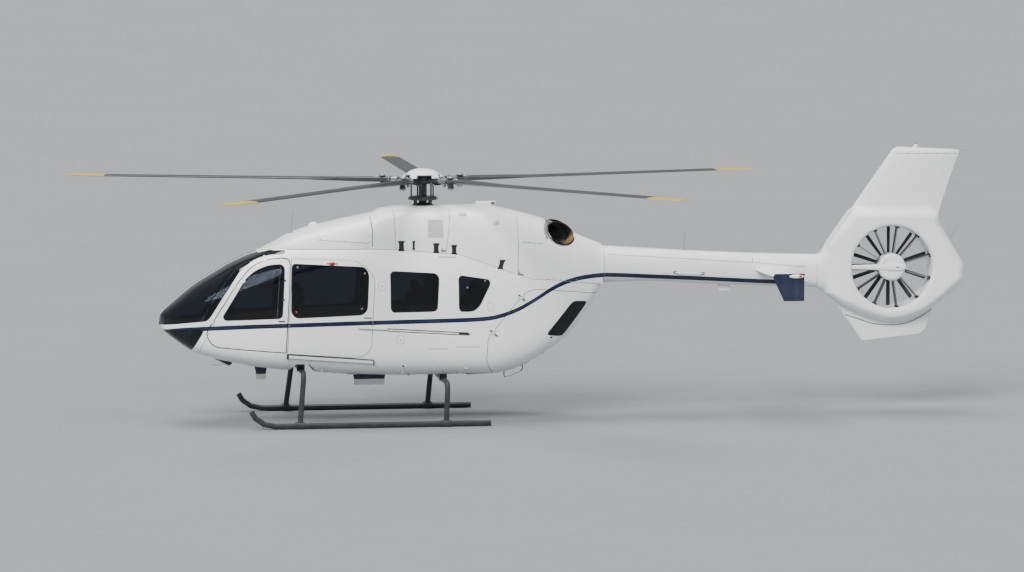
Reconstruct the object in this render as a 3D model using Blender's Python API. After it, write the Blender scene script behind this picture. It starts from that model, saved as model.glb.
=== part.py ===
"""Light twin-engined helicopter with a five-blade rotor and a shrouded tail rotor.

Metres, +Z up, +X aft, +Y starboard.  The origin is the belly hard point: the flat
underside straight below the rotor mast.  The ground lies under the skids.
"""
import math

import bmesh
import bpy
from mathutils import Matrix, Vector

# Driving dimensions
GAP = 0.0003
PILOT_DOOR_GAP = 0.015
REAR_DOOR_GAP = 0.008
WALL = 0.035
GLASS_IN = 0.004
GLASS_OUT = 0.014
FLOOR_Z = 0.285
BELLY_Z = 0.010
GROUND_Z = -0.68
RING_POINTS = 28
UPPER_SQUARE = 3.2
LOWER_SQUARE = 3.6
BELLY_FLAT = 1.05
SIDES = (("left", -1), ("right", 1))

ROTOR_RADIUS = 5.4
ROTOR_Z = 2.82
BLADES = 5
FIRST_BLADE_DEG = 18.0
BLADE_CHORD = 0.30
ROOT_RADIUS = 0.36
DAMPER_RADIUS = 0.60
LINK_RADIUS = 0.17
LINK_LEAD_DEG = 20.0
MAST_RADIUS = 0.06
CAP_RADIUS = 0.30

POD_TAIL_X = 2.62
BOOM_END_X = 5.85
DUCT_X = 6.96
DUCT_Z = 1.466
DUCT_RADIUS = 0.604
DUCT_HALF_DEPTH = 0.25
DUCT_SIDES = 48
TAIL_BLADES = 10
TAIL_VANES = 10

TAIL_HUB_RADIUS = 0.20
VANE_START = -0.20
VANE_END = -0.07
STAB_SPAN = 1.30
STAB_Z = 1.45
PLATE_DROP = 0.36

CROSSTUBE_RADIUS = 0.04
SKID_RADIUS = 0.045
SKID_Y = 1.12
SHOE_HALF = 0.022
SADDLE_Y = 0.42
BEND_RADIUS = 0.18
BEND_DEG = 72.0
FRONT_TUBE_X = -1.84
REAR_TUBE_X = 0.24
PAD_HALF = 0.15

MAST_HOLE = 0.15
ENGINE_END_X = 1.45
PIPE_WALL = 0.008
PIPE_CLEAR = 0.012
EXHAUST_SIDES = 24
RIDGE_HALF = 0.10

PILOT_HINGE = dict(low=(-3.130, 0.851), high=(-2.817, 1.335))
REAR_HINGE = dict(low=(0.925, 0.665), high=(1.345, 1.163))
HINGE_PROUD = 0.018
KNUCKLE_RADIUS = 0.011
KNUCKLE_LENGTH = 0.035
LEAF_LENGTH = 0.038
LEAF_DEPTH = 0.046
LEAF_SHORT = 0.002
REAR_DOOR_SPLIT = 0.003
REAR_FLOOR_X = 1.34

# Recess across the belly for the front crosstube: (distance fore and aft, height)
NOTCH_TOP = 0.22
BELLY_NOTCH = [
    (-0.20, -0.10), (0.20, -0.10), (0.20, 0.06), (0.16, 0.15), (0.09, NOTCH_TOP),
    (-0.09, NOTCH_TOP), (-0.16, 0.15), (-0.20, 0.06),
]

# Cabin body: place along the body, underside, top, half width, height of the widest line
POD = [
    dict(x=-3.85, low=0.745, high=0.900, half=0.10, wide=0.820),
    dict(x=-3.80, low=0.665, high=0.965, half=0.24, wide=0.810),
    dict(x=-3.65, low=0.550, high=1.095, half=0.42, wide=0.780),
    dict(x=-3.40, low=0.385, high=1.300, half=0.56, wide=0.740),
    dict(x=-3.10, low=0.285, high=1.490, half=0.67, wide=0.700),
    dict(x=-2.80, low=0.220, high=1.660, half=0.745, wide=0.680),
    dict(x=-2.40, low=0.145, high=1.820, half=0.800, wide=0.660),
    dict(x=-2.00, low=0.105, high=1.940, half=0.830, wide=0.650),
    dict(x=-1.20, low=0.040, high=1.990, half=0.850, wide=0.650),
    dict(x=-0.35, low=BELLY_Z, high=1.990, half=0.855, wide=0.650),
    dict(x=0.55, low=BELLY_Z, high=1.980, half=0.850, wide=0.650),
    dict(x=0.95, low=BELLY_Z, high=1.960, half=0.830, wide=0.670),
    dict(x=1.35, low=0.100, high=1.930, half=0.765, wide=0.770),
    dict(x=1.75, low=0.305, high=1.900, half=0.660, wide=0.940),
    dict(x=2.10, low=0.560, high=1.870, half=0.540, wide=1.130),
    dict(x=2.40, low=0.925, high=1.840, half=0.400, wide=1.340),
    dict(x=POD_TAIL_X, low=1.270, high=1.825, half=0.270, wide=1.540),
]

# Seam between the cabin body and the engine cowling, front to back
SEAM = [
    (-2.08, 1.862), (-0.49, 1.848), (0.13, 1.795), (0.49, 1.760), (0.82, 1.640),
    (1.29, 1.475), (1.50, 1.402), (1.85, 1.375), (2.10, 1.343), (POD_TAIL_X, 1.275),
]

# Engine cowling: place along the body, top, how square the shoulders are, share of the
# cabin body's width
COWL = [
    dict(x=-2.40, high=1.815, square=2.2, side=0.40),
    dict(x=-2.32, high=1.862, square=2.2, side=0.62),
    dict(x=-2.22, high=1.912, square=2.2, side=0.82),
    dict(x=-2.06, high=2.002, square=2.3, side=1.00),
    dict(x=-1.94, high=2.065, square=2.3, side=1.00),
    dict(x=-1.72, high=2.140, square=2.4, side=1.00),
    dict(x=-1.21, high=2.260, square=2.5, side=1.00),
    dict(x=-0.88, high=2.324, square=2.6, side=0.985),
    dict(x=-0.83, high=2.332, square=2.6, side=0.955),
    dict(x=-0.80, high=2.341, square=2.6, side=1.00),
    dict(x=-0.74, high=2.352, square=2.6, side=1.00),
    dict(x=-0.64, high=2.405, square=2.7, side=1.00),
    dict(x=-0.33, high=2.446, square=2.8, side=1.00),
    dict(x=0.40, high=2.450, square=2.8, side=1.00),
    dict(x=0.85, high=2.450, square=2.8, side=1.00),
    dict(x=1.15, high=2.402, square=2.7, side=1.00),
    dict(x=1.74, high=2.247, square=2.6, side=1.00),
    dict(x=2.00, high=2.140, square=2.4, side=1.00),
    dict(x=2.20, high=2.032, square=2.3, side=1.00),
    dict(x=POD_TAIL_X, high=1.858, square=2.2, side=1.00),
]

# Side outlines of doors and windows as (x, z), all the way round
PILOT_DOOR = [
    (-3.060, 0.462), (-2.080, 0.383), (-1.997, 1.750), (-2.219, 1.748), (-2.419, 1.704),
    (-2.582, 1.608), (-2.703, 1.484), (-2.823, 1.331), (-3.135, 0.842), (-3.222, 0.705),
    (-3.214, 0.612), (-3.150, 0.505),
]
PILOT_WINDOW = [
    (-2.955, 0.868), (-2.175, 0.896), (-2.140, 0.930), (-2.096, 1.615), (-2.140, 1.661),
    (-2.327, 1.643), (-2.516, 1.566), (-2.663, 1.440), (-2.985, 0.915),
]
SLIDING_DOOR = [
    (-2.067, 0.377), (-1.015, 0.300), (-0.855, 0.416), (-0.794, 1.500), (-1.039, 1.710),
    (-1.985, 1.752),
]
SLIDING_WINDOW = [
    (-1.942, 0.899), (-0.986, 0.935), (-0.913, 1.000), (-0.883, 1.522), (-0.940, 1.610),
    (-1.968, 1.666), (-1.990, 1.594), (-2.006, 0.972),
]
CABIN_WINDOW = [
    (-0.535, 0.966), (0.062, 0.972), (0.105, 1.001), (0.135, 1.451), (0.092, 1.509),
    (-0.534, 1.547), (-0.564, 1.510), (-0.564, 1.010),
]
REAR_WINDOW = [
    (0.451, 0.965), (0.626, 0.962), (0.721, 1.034), (0.882, 1.352), (0.868, 1.410),
    (0.459, 1.474), (0.429, 1.440), (0.429, 1.009),
]
REAR_DOOR = [
    (0.860, 0.160), (1.080, -0.200), (2.720, -0.200), (2.720, 1.133), (2.252, 1.188),
    (1.548, 1.268), (1.372, 1.195), (0.897, 0.632), (0.845, 0.560), (0.830, 0.240),
]
REAR_DOOR_WINDOW = [
    (1.736, 0.584), (1.984, 0.555), (2.368, 1.039), (2.146, 1.055),
]
WINDSHIELD = [
    (-4.000, 0.738), (-3.813, 0.764), (-3.520, 0.809), (-3.212, 0.847), (-3.155, 0.913),
    (-2.953, 1.231), (-2.726, 1.551), (-2.650, 1.619), (-2.500, 1.714), (-2.326, 1.772),
    (-2.101, 1.797), (-2.066, 1.815), (-2.066, 1.846), (-2.268, 1.838), (-2.374, 1.812),
    (-2.430, 1.798), (-2.450, 1.810), (-2.450, 2.200), (-4.000, 2.200),
]
CHIN_WINDOW = [
    (-4.000, 0.385), (-3.435, 0.385), (-3.262, 0.690), (-3.255, 0.735), (-3.520, 0.715),
    (-4.000, 0.675),
]
# How far the corners of each outline are rounded
CORNER_SHARE = 0.45
WINDOW_CORNER = 0.06
DOOR_CORNER = 0.12
REAR_DOOR_WINDOW_CORNER = 0.02
PILOT_DOOR_CORNERS = (0, 2, 3, 4, 5, 6, 7, 8, 9, 10, 11)
REAR_DOOR_CORNERS = (5, 6, 7, 8)
WINDSHIELD_CORNERS = (3, 4, 5, 6, 7, 8, 9)
SHELL_POST_HALF = 0.03
CHIN_KEEL_HALF = 0.09

# Tail boom: place along the body, underside, top, half width
BOOM = [
    dict(x=POD_TAIL_X + GAP, low=1.275, high=1.825, half=0.268),
    dict(x=3.30, low=1.290, high=1.780, half=0.235),
    dict(x=4.10, low=1.245, high=1.727, half=0.205),
    dict(x=5.00, low=1.198, high=1.683, half=0.185),
    dict(x=BOOM_END_X, low=1.165, high=1.655, half=0.170),
]

# Profile of the damper through each blade's root: radius, height
DAMPER = [
    (0.020, -0.112), (0.042, -0.100), (0.048, -0.078), (0.036, -0.052), (0.036, 0.040),
    (0.046, 0.048), (0.046, 0.062), (0.028, 0.070),
]

# Side outline of the body around the tail rotor duct
DUCT_BODY = [
    (5.980, 1.080), (6.233, 0.887), (6.550, 0.733), (6.945, 0.624), (7.320, 0.693),
    (7.610, 0.845), (8.050, 1.204), (8.092, 1.290), (8.080, 1.495), (7.720, 2.090),
    (7.700, 2.280), (7.560, 2.340), (6.345, 2.340), (5.980, 1.850),
]

# Rounding of the duct's body: place across it, how far its outline is drawn in
DUCT_BODY_EDGE = [
    (-0.250, 0.135), (-0.235, 0.095), (-0.170, 0.035), (-0.080, 0.000),
    (0.080, 0.000), (0.170, 0.035), (0.235, 0.095), (0.250, 0.135),
]

# Boom's end growing into the duct's body: place along it, underside, top, half width
FIN_ROOT = [
    (BOOM_END_X + GAP, 1.165, 1.655, 0.170), (6.05, 1.050, 1.860, 0.185),
    (6.30, 0.980, 2.000, 0.190),
]

# Fin sections: leading edge (x, z), trailing edge (x, z), half thickness
FIN_UPPER = [
    ((6.290, 2.200), (7.705, 2.200), 0.095), ((6.590, 2.660), (7.850, 2.660), 0.085),
    ((6.900, 3.100), (8.005, 3.090), 0.075), ((6.985, 3.190), (8.030, 3.160), 0.060),
    ((7.060, 3.236), (8.025, 3.185), 0.030),
]
FIN_LOWER = [
    ((6.180, 0.880), (7.640, 0.880), 0.075), ((6.430, 0.520), (7.540, 0.520), 0.060),
    ((6.550, 0.350), (7.470, 0.445), 0.045),
]

# Rounded lip of the duct, one end: distance past its radius, distance from its face
DUCT_LIP = [(0.050, -0.050), (0.035, 0.000), (0.010, 0.025), (0.000, 0.060)]

# Blade sections: radius, chord, half thickness, backward shift
BLADE_STATIONS = [
    (ROOT_RADIUS + GAP, 0.100, 0.034, 0.000), (0.50, 0.120, 0.036, 0.000),
    (0.90, 0.150, 0.034, 0.000), (1.35, 0.190, 0.028, 0.010),
    (1.75, BLADE_CHORD, 0.019, 0.030), (2.20, BLADE_CHORD, 0.018, 0.030),
    (4.95, BLADE_CHORD, 0.014, 0.030), (5.20, 0.270, 0.011, 0.045),
    (5.34, 0.200, 0.008, 0.090), (ROTOR_RADIUS, 0.120, 0.004, 0.140),
]

# Engines and gearbox: start along the body, half width, top edge back to front
ENGINE_START_X = -0.95
ENGINE_HALF = 0.34
ENGINE_TOP = [(ENGINE_END_X, 2.14), (0.95, 2.30), (-0.30, 2.30), (ENGINE_START_X, 2.18)]

# Seat from the side, measured from the front of its pedestal and the floor
SEAT_SIDE = [
    (-0.12, 0.00), (0.36, 0.00), (0.36, 0.10), (0.62, 1.02), (0.50, 1.05),
    (0.30, 0.40), (-0.20, 0.42), (-0.22, 0.30), (-0.12, 0.26),
]
SEATS = (
    ("pilot_seat_left", -2.36, -0.36, 0.22), ("pilot_seat_right", -2.36, 0.36, 0.22),
    ("passenger_seats", -0.60, 0.00, 0.66),
)

# Instrument console and its hood from the side: place along the body, height over the floor
CONSOLE_HALF = 0.17
CONSOLE_SIDE = [
    (-2.87, 0.00), (-2.62, 0.00), (-2.62, 0.33), (-2.82, 0.45), (-2.80, 0.67),
    (-3.06, 0.71), (-3.18, 0.51), (-3.12, 0.24),
]
HOOD_HALF = 0.36
HOOD_SIDE = [(-3.14, 0.47), (-2.81, 0.47), (-2.78, 0.71), (-3.10, 0.73)]

# Oval opening for each exhaust in the cowling's side, seen from the side
EXHAUST_OVAL = dict(x=1.983, z=2.045, along=0.228, up=0.165, tilt=-22.0)

# Exhaust pipe for one side: middle, direction, half length and half height of its section
EXHAUST = [
    dict(at=(ENGINE_END_X + GAP, 0.22, 2.020), ahead=(1.0, 0.0, 0.0), along=0.075, up=0.075),
    dict(at=(1.600, 0.22, 2.020), ahead=(1.0, 0.0, 0.0), along=0.075, up=0.075),
    dict(at=(1.730, 0.235, 2.022), ahead=(1.0, 0.2, 0.05), along=0.095, up=0.092),
    dict(at=(1.850, 0.260, 2.030), ahead=(0.8, 0.6, 0.2), along=0.135, up=0.125),
    dict(at=(1.930, 0.290, 2.035), ahead=(0.5, 0.8, 0.4), along=0.175, up=0.165),
    dict(at=(1.983, 0.335, 2.048), ahead=(0.26, 0.70, 0.66), along=0.208, up=0.205),
]
EXHAUST_LEAN = (0.375, 0.0, 0.927)

PAINT = {
    "white": ((0.86, 0.87, 0.88), 0.30, 0.0),
    "glass": ((0.02, 0.025, 0.035), 0.08, 0.0),
    "dark": ((0.03, 0.032, 0.036), 0.45, 0.2),
    "metal": ((0.45, 0.46, 0.48), 0.38, 0.9),
    "bronze": ((0.42, 0.27, 0.16), 0.42, 0.9),
    "blade": ((0.07, 0.075, 0.085), 0.50, 0.0),
    "cloth": ((0.10, 0.11, 0.13), 0.90, 0.0),
    "grey": ((0.35, 0.36, 0.38), 0.55, 0.1),
}


# Basic tools
def clear_scene():
    for item in list(bpy.data.objects):
        bpy.data.objects.remove(item, do_unlink=True)


def paint(kind):
    name = "paint_" + kind
    found = bpy.data.materials.get(name)
    if found:
        return found
    colour, roughness, metallic = PAINT[kind]
    made = bpy.data.materials.new(name)
    made.use_nodes = True
    shader = made.node_tree.nodes["Principled BSDF"]
    shader.inputs["Base Color"].default_value = (*colour, 1.0)
    shader.inputs["Roughness"].default_value = roughness
    shader.inputs["Metallic"].default_value = metallic
    return made


def add_object(name, bm, kind="white"):
    bmesh.ops.recalc_face_normals(bm, faces=bm.faces)
    mesh = bpy.data.meshes.new(name)
    bm.to_mesh(mesh)
    bm.free()
    item = bpy.data.objects.new(name, mesh)
    bpy.context.collection.objects.link(item)
    mesh.materials.append(paint(kind))
    return item


def smooth(item, degrees=32.0):
    item.data.shade_smooth()
    item.data.set_sharp_from_angle(angle=math.radians(degrees))


def combine(item, other, operation):
    """Cut, join or intersect item with other, and delete other."""
    change = item.modifiers.new(operation.lower(), "BOOLEAN")
    change.operation = operation
    change.solver = "EXACT"
    change.object = other
    graph = bpy.context.evaluated_depsgraph_get()
    result = bpy.data.meshes.new_from_object(item.evaluated_get(graph))
    item.modifiers.clear()
    old = item.data
    item.data = result
    bpy.data.meshes.remove(old)
    bpy.data.objects.remove(other, do_unlink=True)
    return item


def cut(item, other):
    return combine(item, other, "DIFFERENCE")


def join(item, other):
    return combine(item, other, "UNION")


def common(item, other):
    return combine(item, other, "INTERSECT")


def clean(item, distance=0.00005):
    """Drop the slivers that cutting leaves."""
    bm = bmesh.new()
    bm.from_mesh(item.data)
    bmesh.ops.remove_doubles(bm, verts=bm.verts, dist=distance)
    bmesh.ops.dissolve_degenerate(bm, edges=bm.edges, dist=distance)
    bm.to_mesh(item.data)
    bm.free()
    return item


def loft(name, rings, kind="white", flat=False):
    """Closed body through rings that have the same number of points.

    Each stretch between two points is two triangles, always split the same way, so that
    bodies that follow one another's skin stay the same distance apart.
    """
    bm = bmesh.new()
    loops = [[bm.verts.new(point) for point in ring] for ring in rings]
    count = len(rings[0])
    for one, two in zip(loops, loops[1:]):
        for i in range(count):
            j = (i + 1) % count
            if flat:
                bm.faces.new((one[i], one[j], two[j], two[i]))
            else:
                bm.faces.new((one[i], one[j], two[j]))
                bm.faces.new((one[i], two[j], two[i]))
    bm.faces.new(list(reversed(loops[0])))
    bm.faces.new(loops[-1])
    return add_object(name, bm, kind)


def prism(name, outline, y0, y1, kind="white"):
    """Side outline (x, z) drawn out from y0 to y1."""
    rings = [[Vector((x, y, z)) for x, z in outline] for y in (y0, y1)]
    return loft(name, rings, kind, flat=True)


def block(name, low, high, kind="white"):
    outline = [(low[0], low[2]), (high[0], low[2]), (high[0], high[2]), (low[0], high[2])]
    return prism(name, outline, low[1], high[1], kind)


def shrink(outline, distance):
    """Outline with every side moved inwards by distance (outwards when negative)."""
    count = len(outline)
    area = sum(outline[i][0] * outline[(i + 1) % count][1]
               - outline[(i + 1) % count][0] * outline[i][1] for i in range(count))
    turn = 1.0 if area > 0 else -1.0
    moved = []
    for i in range(count):
        before = Vector(outline[i - 1])
        here = Vector(outline[i])
        after = Vector(outline[(i + 1) % count])
        into = (here - before).normalized()
        away = (after - here).normalized()
        normal_in = Vector((-into.y, into.x)) * turn
        normal_out = Vector((-away.y, away.x)) * turn
        middle = (normal_in + normal_out).normalized()
        reach = distance / max(0.35, middle.dot(normal_in))
        moved.append(tuple(here + middle * reach))
    return moved


def softened(outline, reach, corners=None, steps=3):
    """Outline with all its corners, or the numbered ones, rounded."""
    made = []
    count = len(outline)
    for i, point in enumerate(outline):
        if corners is not None and i not in corners:
            made.append(point)
            continue
        here = Vector(point)
        before = Vector(outline[i - 1]) - here
        after = Vector(outline[(i + 1) % count]) - here
        size = min(reach, before.length * CORNER_SHARE, after.length * CORNER_SHARE)
        one = here + before.normalized() * size
        two = here + after.normalized() * size
        for k in range(steps + 1):
            t = k / steps
            made.append(tuple(one * (1 - t) ** 2 + here * 2 * t * (1 - t) + two * t ** 2))
    return made


def turned(name, profile, sides, kind="metal"):
    """Body of revolution about Z through (radius, z) points, closed at both ends."""
    rings = []
    for radius, z in profile:
        rings.append([Vector((radius * math.cos(math.tau * i / sides),
                              radius * math.sin(math.tau * i / sides), z)) for i in range(sides)])
    return loft(name, rings, kind)


def tube(name, path, radius, sides, kind="dark"):
    """Round bar through the points of path."""
    points = [Vector(point) for point in path]
    rings = []
    side = None
    for i, point in enumerate(points):
        ahead = points[min(i + 1, len(points) - 1)] - points[max(i - 1, 0)]
        ahead.normalize()
        if side is None:
            seed = Vector((1, 0, 0)) if abs(ahead.x) < 0.9 else Vector((0, 1, 0))
            side = ahead.cross(seed).normalized()
        side = (side - ahead * side.dot(ahead)).normalized()
        up = ahead.cross(side)
        rings.append([point + radius * (math.cos(math.tau * k / sides) * side
                                        + math.sin(math.tau * k / sides) * up)
                      for k in range(sides)])
    return loft(name, rings, kind)


def placed(item, matrix):
    item.data.transform(matrix)
    return item


def turn_z(angle):
    return Matrix.Rotation(angle, 4, "Z")


def set_origin(item, point):
    """Move the object's origin to point and leave its shape where it is."""
    item.data.transform(Matrix.Translation(-Vector(point)))
    item.location = point


# Values along the body
def between(table, x, key):
    """Smooth value of one column at x."""
    last = len(table) - 1
    i = 0
    while i < last - 1 and x > table[i + 1]["x"]:
        i += 1
    x0, x1 = table[i]["x"], table[i + 1]["x"]
    v0, v1 = table[i][key], table[i + 1][key]
    before = table[max(i - 1, 0)]
    after = table[min(i + 2, last)]
    s0 = (v1 - before[key]) / (x1 - before["x"])
    s1 = (after[key] - v0) / (after["x"] - x0)
    flat = (v1 - v0) / (x1 - x0)
    if flat == 0.0 or s0 * flat < 0:
        s0 = 0.0
    if flat == 0.0 or s1 * flat < 0:
        s1 = 0.0
    limit = 3.0 * abs(flat)
    s0 = max(-limit, min(limit, s0))
    s1 = max(-limit, min(limit, s1))
    width = x1 - x0
    t = max(0.0, min(1.0, (x - x0) / width))
    return ((2 * t ** 3 - 3 * t ** 2 + 1) * v0 + (t ** 3 - 2 * t ** 2 + t) * width * s0
            + (3 * t ** 2 - 2 * t ** 3) * v1 + (t ** 3 - t ** 2) * width * s1)


def seam_height(x):
    if x <= SEAM[0][0]:
        return SEAM[0][1]
    for (x0, z0), (x1, z1) in zip(SEAM, SEAM[1:]):
        if x <= x1:
            return z0 + (z1 - z0) * (x - x0) / (x1 - x0)
    return SEAM[-1][1]


def pod_half_at(x, z):
    """Half width of the cabin body at a height above its widest line."""
    half = between(POD, x, "half")
    wide = between(POD, x, "wide")
    high = between(POD, x, "high")
    share = min(0.999, max(0.0, (z - wide) / (high - wide)))
    return half * (1.0 - share ** UPPER_SQUARE) ** (1.0 / UPPER_SQUARE)


def pod_ring(x, inset=0.0, floor=None, roof=None):
    half = between(POD, x, "half") - inset
    low = between(POD, x, "low") + inset
    high = between(POD, x, "high") - inset
    wide = between(POD, x, "wide")
    if roof is not None:
        wide = min(wide, roof - 0.10)
    nose = max(0.0, min(1.0, (-2.4 - x) / 1.2))
    tail = max(0.0, min(1.0, (x - 1.2) / 1.2))
    place = x + inset * (nose - tail)
    ring = []
    for i in range(RING_POINTS):
        angle = math.tau * (i + 0.5) / RING_POINTS
        c, s = math.cos(angle), math.sin(angle)
        square = UPPER_SQUARE if s > 0 else LOWER_SQUARE
        y = math.copysign(half * abs(c) ** (2.0 / square), c)
        if s > 0:
            z = wide + (high - wide) * abs(s) ** (2.0 / square)
        else:
            z = max(low, wide - BELLY_FLAT * (wide - low) * abs(s) ** (2.0 / square))
        if floor is not None:
            z = max(z, floor)
        if roof is not None:
            z = min(z, roof)
        ring.append(Vector((place, y, z)))
    return ring


def pod_places(start, end):
    inner = [-3.83, -3.80, -3.65, -3.48, -3.30, -3.10, -2.90, -2.65, -2.40, -2.10, -1.75, -1.20,
             -0.35, 0.55, 0.95, 1.35, 1.70, 2.05, 2.40]
    return [start] + [x for x in inner if start + 0.02 < x < end - 0.02] + [end]


def pod_solid(name, inset, start, end, hollow=False):
    rings = []
    for x in pod_places(start, end):
        if hollow:
            floor = FLOOR_Z if x < 1.34 else None
            rings.append(pod_ring(x, inset, floor, seam_height(x) - WALL))
        else:
            rings.append(pod_ring(x, inset))
    return loft(name, rings)


def above_seam(name, lift, y=1.2):
    outline = [(SEAM[0][0] - 2.0, SEAM[0][1] + lift)]
    outline += [(x, z + lift) for x, z in SEAM]
    outline += [(POD_TAIL_X + 0.2, SEAM[-1][1] + lift), (POD_TAIL_X + 0.2, 3.0),
                (SEAM[0][0] - 2.0, 3.0)]
    return prism(name, outline, -y, y)


# Cabin body with its doors and windows
SHAPES = {
    "pilot_door": softened(PILOT_DOOR, DOOR_CORNER, PILOT_DOOR_CORNERS),
    "pilot_window": softened(PILOT_WINDOW, WINDOW_CORNER),
    "sliding_door": softened(SLIDING_DOOR, DOOR_CORNER, (1, 2, 3, 4)),
    "sliding_window": softened(SLIDING_WINDOW, WINDOW_CORNER),
    "cabin_window": softened(CABIN_WINDOW, WINDOW_CORNER),
    "rear_window": softened(REAR_WINDOW, WINDOW_CORNER),
    "rear_door": softened(REAR_DOOR, DOOR_CORNER, REAR_DOOR_CORNERS),
    "rear_door_window": softened(REAR_DOOR_WINDOW, REAR_DOOR_WINDOW_CORNER),
    "windshield": softened(WINDSHIELD, WINDOW_CORNER, WINDSHIELD_CORNERS),
    "chin_window": softened(CHIN_WINDOW, WINDOW_CORNER, (1, 2, 3)),
}


def side_range(side, near=0.0):
    return (near, 1.3) if side > 0 else (-1.3, -near)


def side_prism(outline, side, near=0.0, grow=0.0):
    y0, y1 = side_range(side, near)
    return prism("cutter", shrink(outline, -grow) if grow else outline, y0, y1)


def make_pod():
    """Whole hollow body before the doors and windows are cut from it."""
    shell = pod_solid("fuselage_shell", 0.0, POD[0]["x"], POD_TAIL_X)
    cut(shell, above_seam("cutter", 0.0))
    cut(shell, pod_solid("cutter", WALL, -3.80, 2.44, hollow=True))
    return shell


def copy_of(item, name):
    made = bpy.data.objects.new(name, item.data.copy())
    bpy.context.collection.objects.link(made)
    return made


def make_doors(shell):
    """Each door is its own stretch of the body's wall, with the window cut out."""
    doors = {}
    table = (
        ("pilot_door", SHAPES["pilot_door"], SHAPES["pilot_window"], 0.05, PILOT_DOOR_GAP),
        ("sliding_door", SHAPES["sliding_door"], SHAPES["sliding_window"], 0.05, GAP),
        ("clamshell_door", SHAPES["rear_door"], SHAPES["rear_door_window"], REAR_DOOR_SPLIT,
         REAR_DOOR_GAP),
    )
    for name, outline, window, near, gap in table:
        for label, side in SIDES:
            door = copy_of(shell, name + "_" + label)
            common(door, side_prism(outline, side, near, -gap))
            if name == "clamshell_door":
                cut(door, rear_floor("cutter", -0.002))
            cut(door, side_prism(window, side, 0.05))
            doors[door.name] = door
    return doors


def rear_floor(name, inset):
    """End of the cabin floor, between the loading doors."""
    rings = [pod_ring(x, WALL + inset) for x in pod_places(0.70, REAR_FLOOR_X - inset)]
    floor = loft(name, rings)
    return common(floor, block("cutter", (0.0, -1.0, -0.1), (2.0, 1.0, FLOOR_Z + 0.001 - inset)))


def make_shell(shell):
    for label, side in SIDES:
        for key, near in (("pilot_door", 0.05), ("sliding_door", 0.05), ("cabin_window", 0.05),
                          ("rear_window", 0.05), ("windshield", SHELL_POST_HALF),
                          ("chin_window", CHIN_KEEL_HALF)):
            cut(shell, side_prism(SHAPES[key], side, near))
    opening = prism("cutter", SHAPES["rear_door"], -1.3, 1.3)
    cut(opening, rear_floor("floor", 2.0 * REAR_DOOR_GAP))
    cut(shell, opening)
    return shell


def make_glass():
    """Panes follow the body's skin and lie a little inside the openings."""
    skin = pod_solid("skin", GLASS_IN, -3.848, POD_TAIL_X)
    cut(skin, pod_solid("cutter", GLASS_OUT, -3.84, POD_TAIL_X - 0.1))
    table = (
        ("windshield", "windshield", SHELL_POST_HALF),
        ("chin_window", "chin_window", CHIN_KEEL_HALF),
        ("pilot_door_window", "pilot_window", 0.05),
        ("sliding_door_window", "sliding_window", 0.05),
        ("cabin_window", "cabin_window", 0.05),
        ("rear_cabin_window", "rear_window", 0.05),
        ("clamshell_window", "rear_door_window", 0.05),
    )
    for name, key, near in table:
        for label, side in SIDES:
            pane = copy_of(skin, name + "_" + label)
            common(pane, side_prism(SHAPES[key], side, near + GAP, -GAP))
            pane.data.materials.clear()
            pane.data.materials.append(paint("glass"))
            smooth(clean(pane))
    bpy.data.objects.remove(skin, do_unlink=True)


# Hinges
def hinge_line(places, side):
    """Two points on a hinge axis that lies just outside the skin."""
    line = []
    for key in ("low", "high"):
        x, z = places[key]
        line.append(Vector((x, side * (pod_half_at(x, z) + HINGE_PROUD), z)))
    return line


def add_hinges(door, shell, places, side):
    low, high = hinge_line(places, side)
    axis = (high - low).normalized()
    outward = Vector((0.0, side, 0.0))
    outward = (outward - axis * outward.dot(axis)).normalized()
    aft = outward.cross(axis) * side
    if aft.x < 0:
        aft = -aft
    for point in (low, high):
        for owner, along, reach in ((door, -1.0, aft), (shell, 1.0, -aft)):
            start = point + axis * along * GAP
            end = point + axis * along * KNUCKLE_LENGTH
            knuckle = tube("knuckle", [start, end], KNUCKLE_RADIUS, 10, "white")
            corners = []
            for spot in (start + axis * along * LEAF_SHORT, end - axis * along * LEAF_SHORT):
                ring = []
                for out, far in ((0.006, 0.0), (0.006, LEAF_LENGTH),
                                 (-LEAF_DEPTH, LEAF_LENGTH), (-LEAF_DEPTH, LEAF_LENGTH * 0.5),
                                 (-0.006, 0.0)):
                    ring.append(spot + outward * out + reach * far)
                corners.append(ring)
            join(owner, loft("leaf", corners))
            join(owner, knuckle)
    set_origin(door, low)


# Engine cowling, engines and exhausts
def cowl_ring(x, inset=0.0, drop=0.30):
    seam = seam_height(x)
    level = min(seam, between(POD, x, "high") - 0.05)
    half = pod_half_at(x, level) * between(COWL, x, "side") - inset
    high = between(COWL, x, "high") - inset
    base = min(seam, high - 0.02)
    square = between(COWL, x, "square")
    ring = []
    steps = 16
    for i in range(steps + 1):
        angle = math.pi * i / steps
        c, s = math.cos(angle), math.sin(angle)
        y = math.copysign(half * abs(c) ** (2.0 / square), c)
        ring.append(Vector((x, y, base + (high - base) * s ** (2.0 / square) if s > 0 else base)))
    ring.append(Vector((x, -half, base - drop)))
    ring.append(Vector((x, half, base - drop)))
    return ring


def cowl_places(start, end):
    inner = [-2.36, -2.32, -2.22, -2.06, -1.94, -1.72, -1.21, -0.88, -0.83, -0.80, -0.74, -0.64,
             -0.33, 0.13, 0.49, 0.82, 1.15, 1.50, 1.74, 2.00, 2.20, 2.40]
    return [start] + [x for x in inner if start + 0.02 < x < end - 0.02] + [end]


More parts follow.
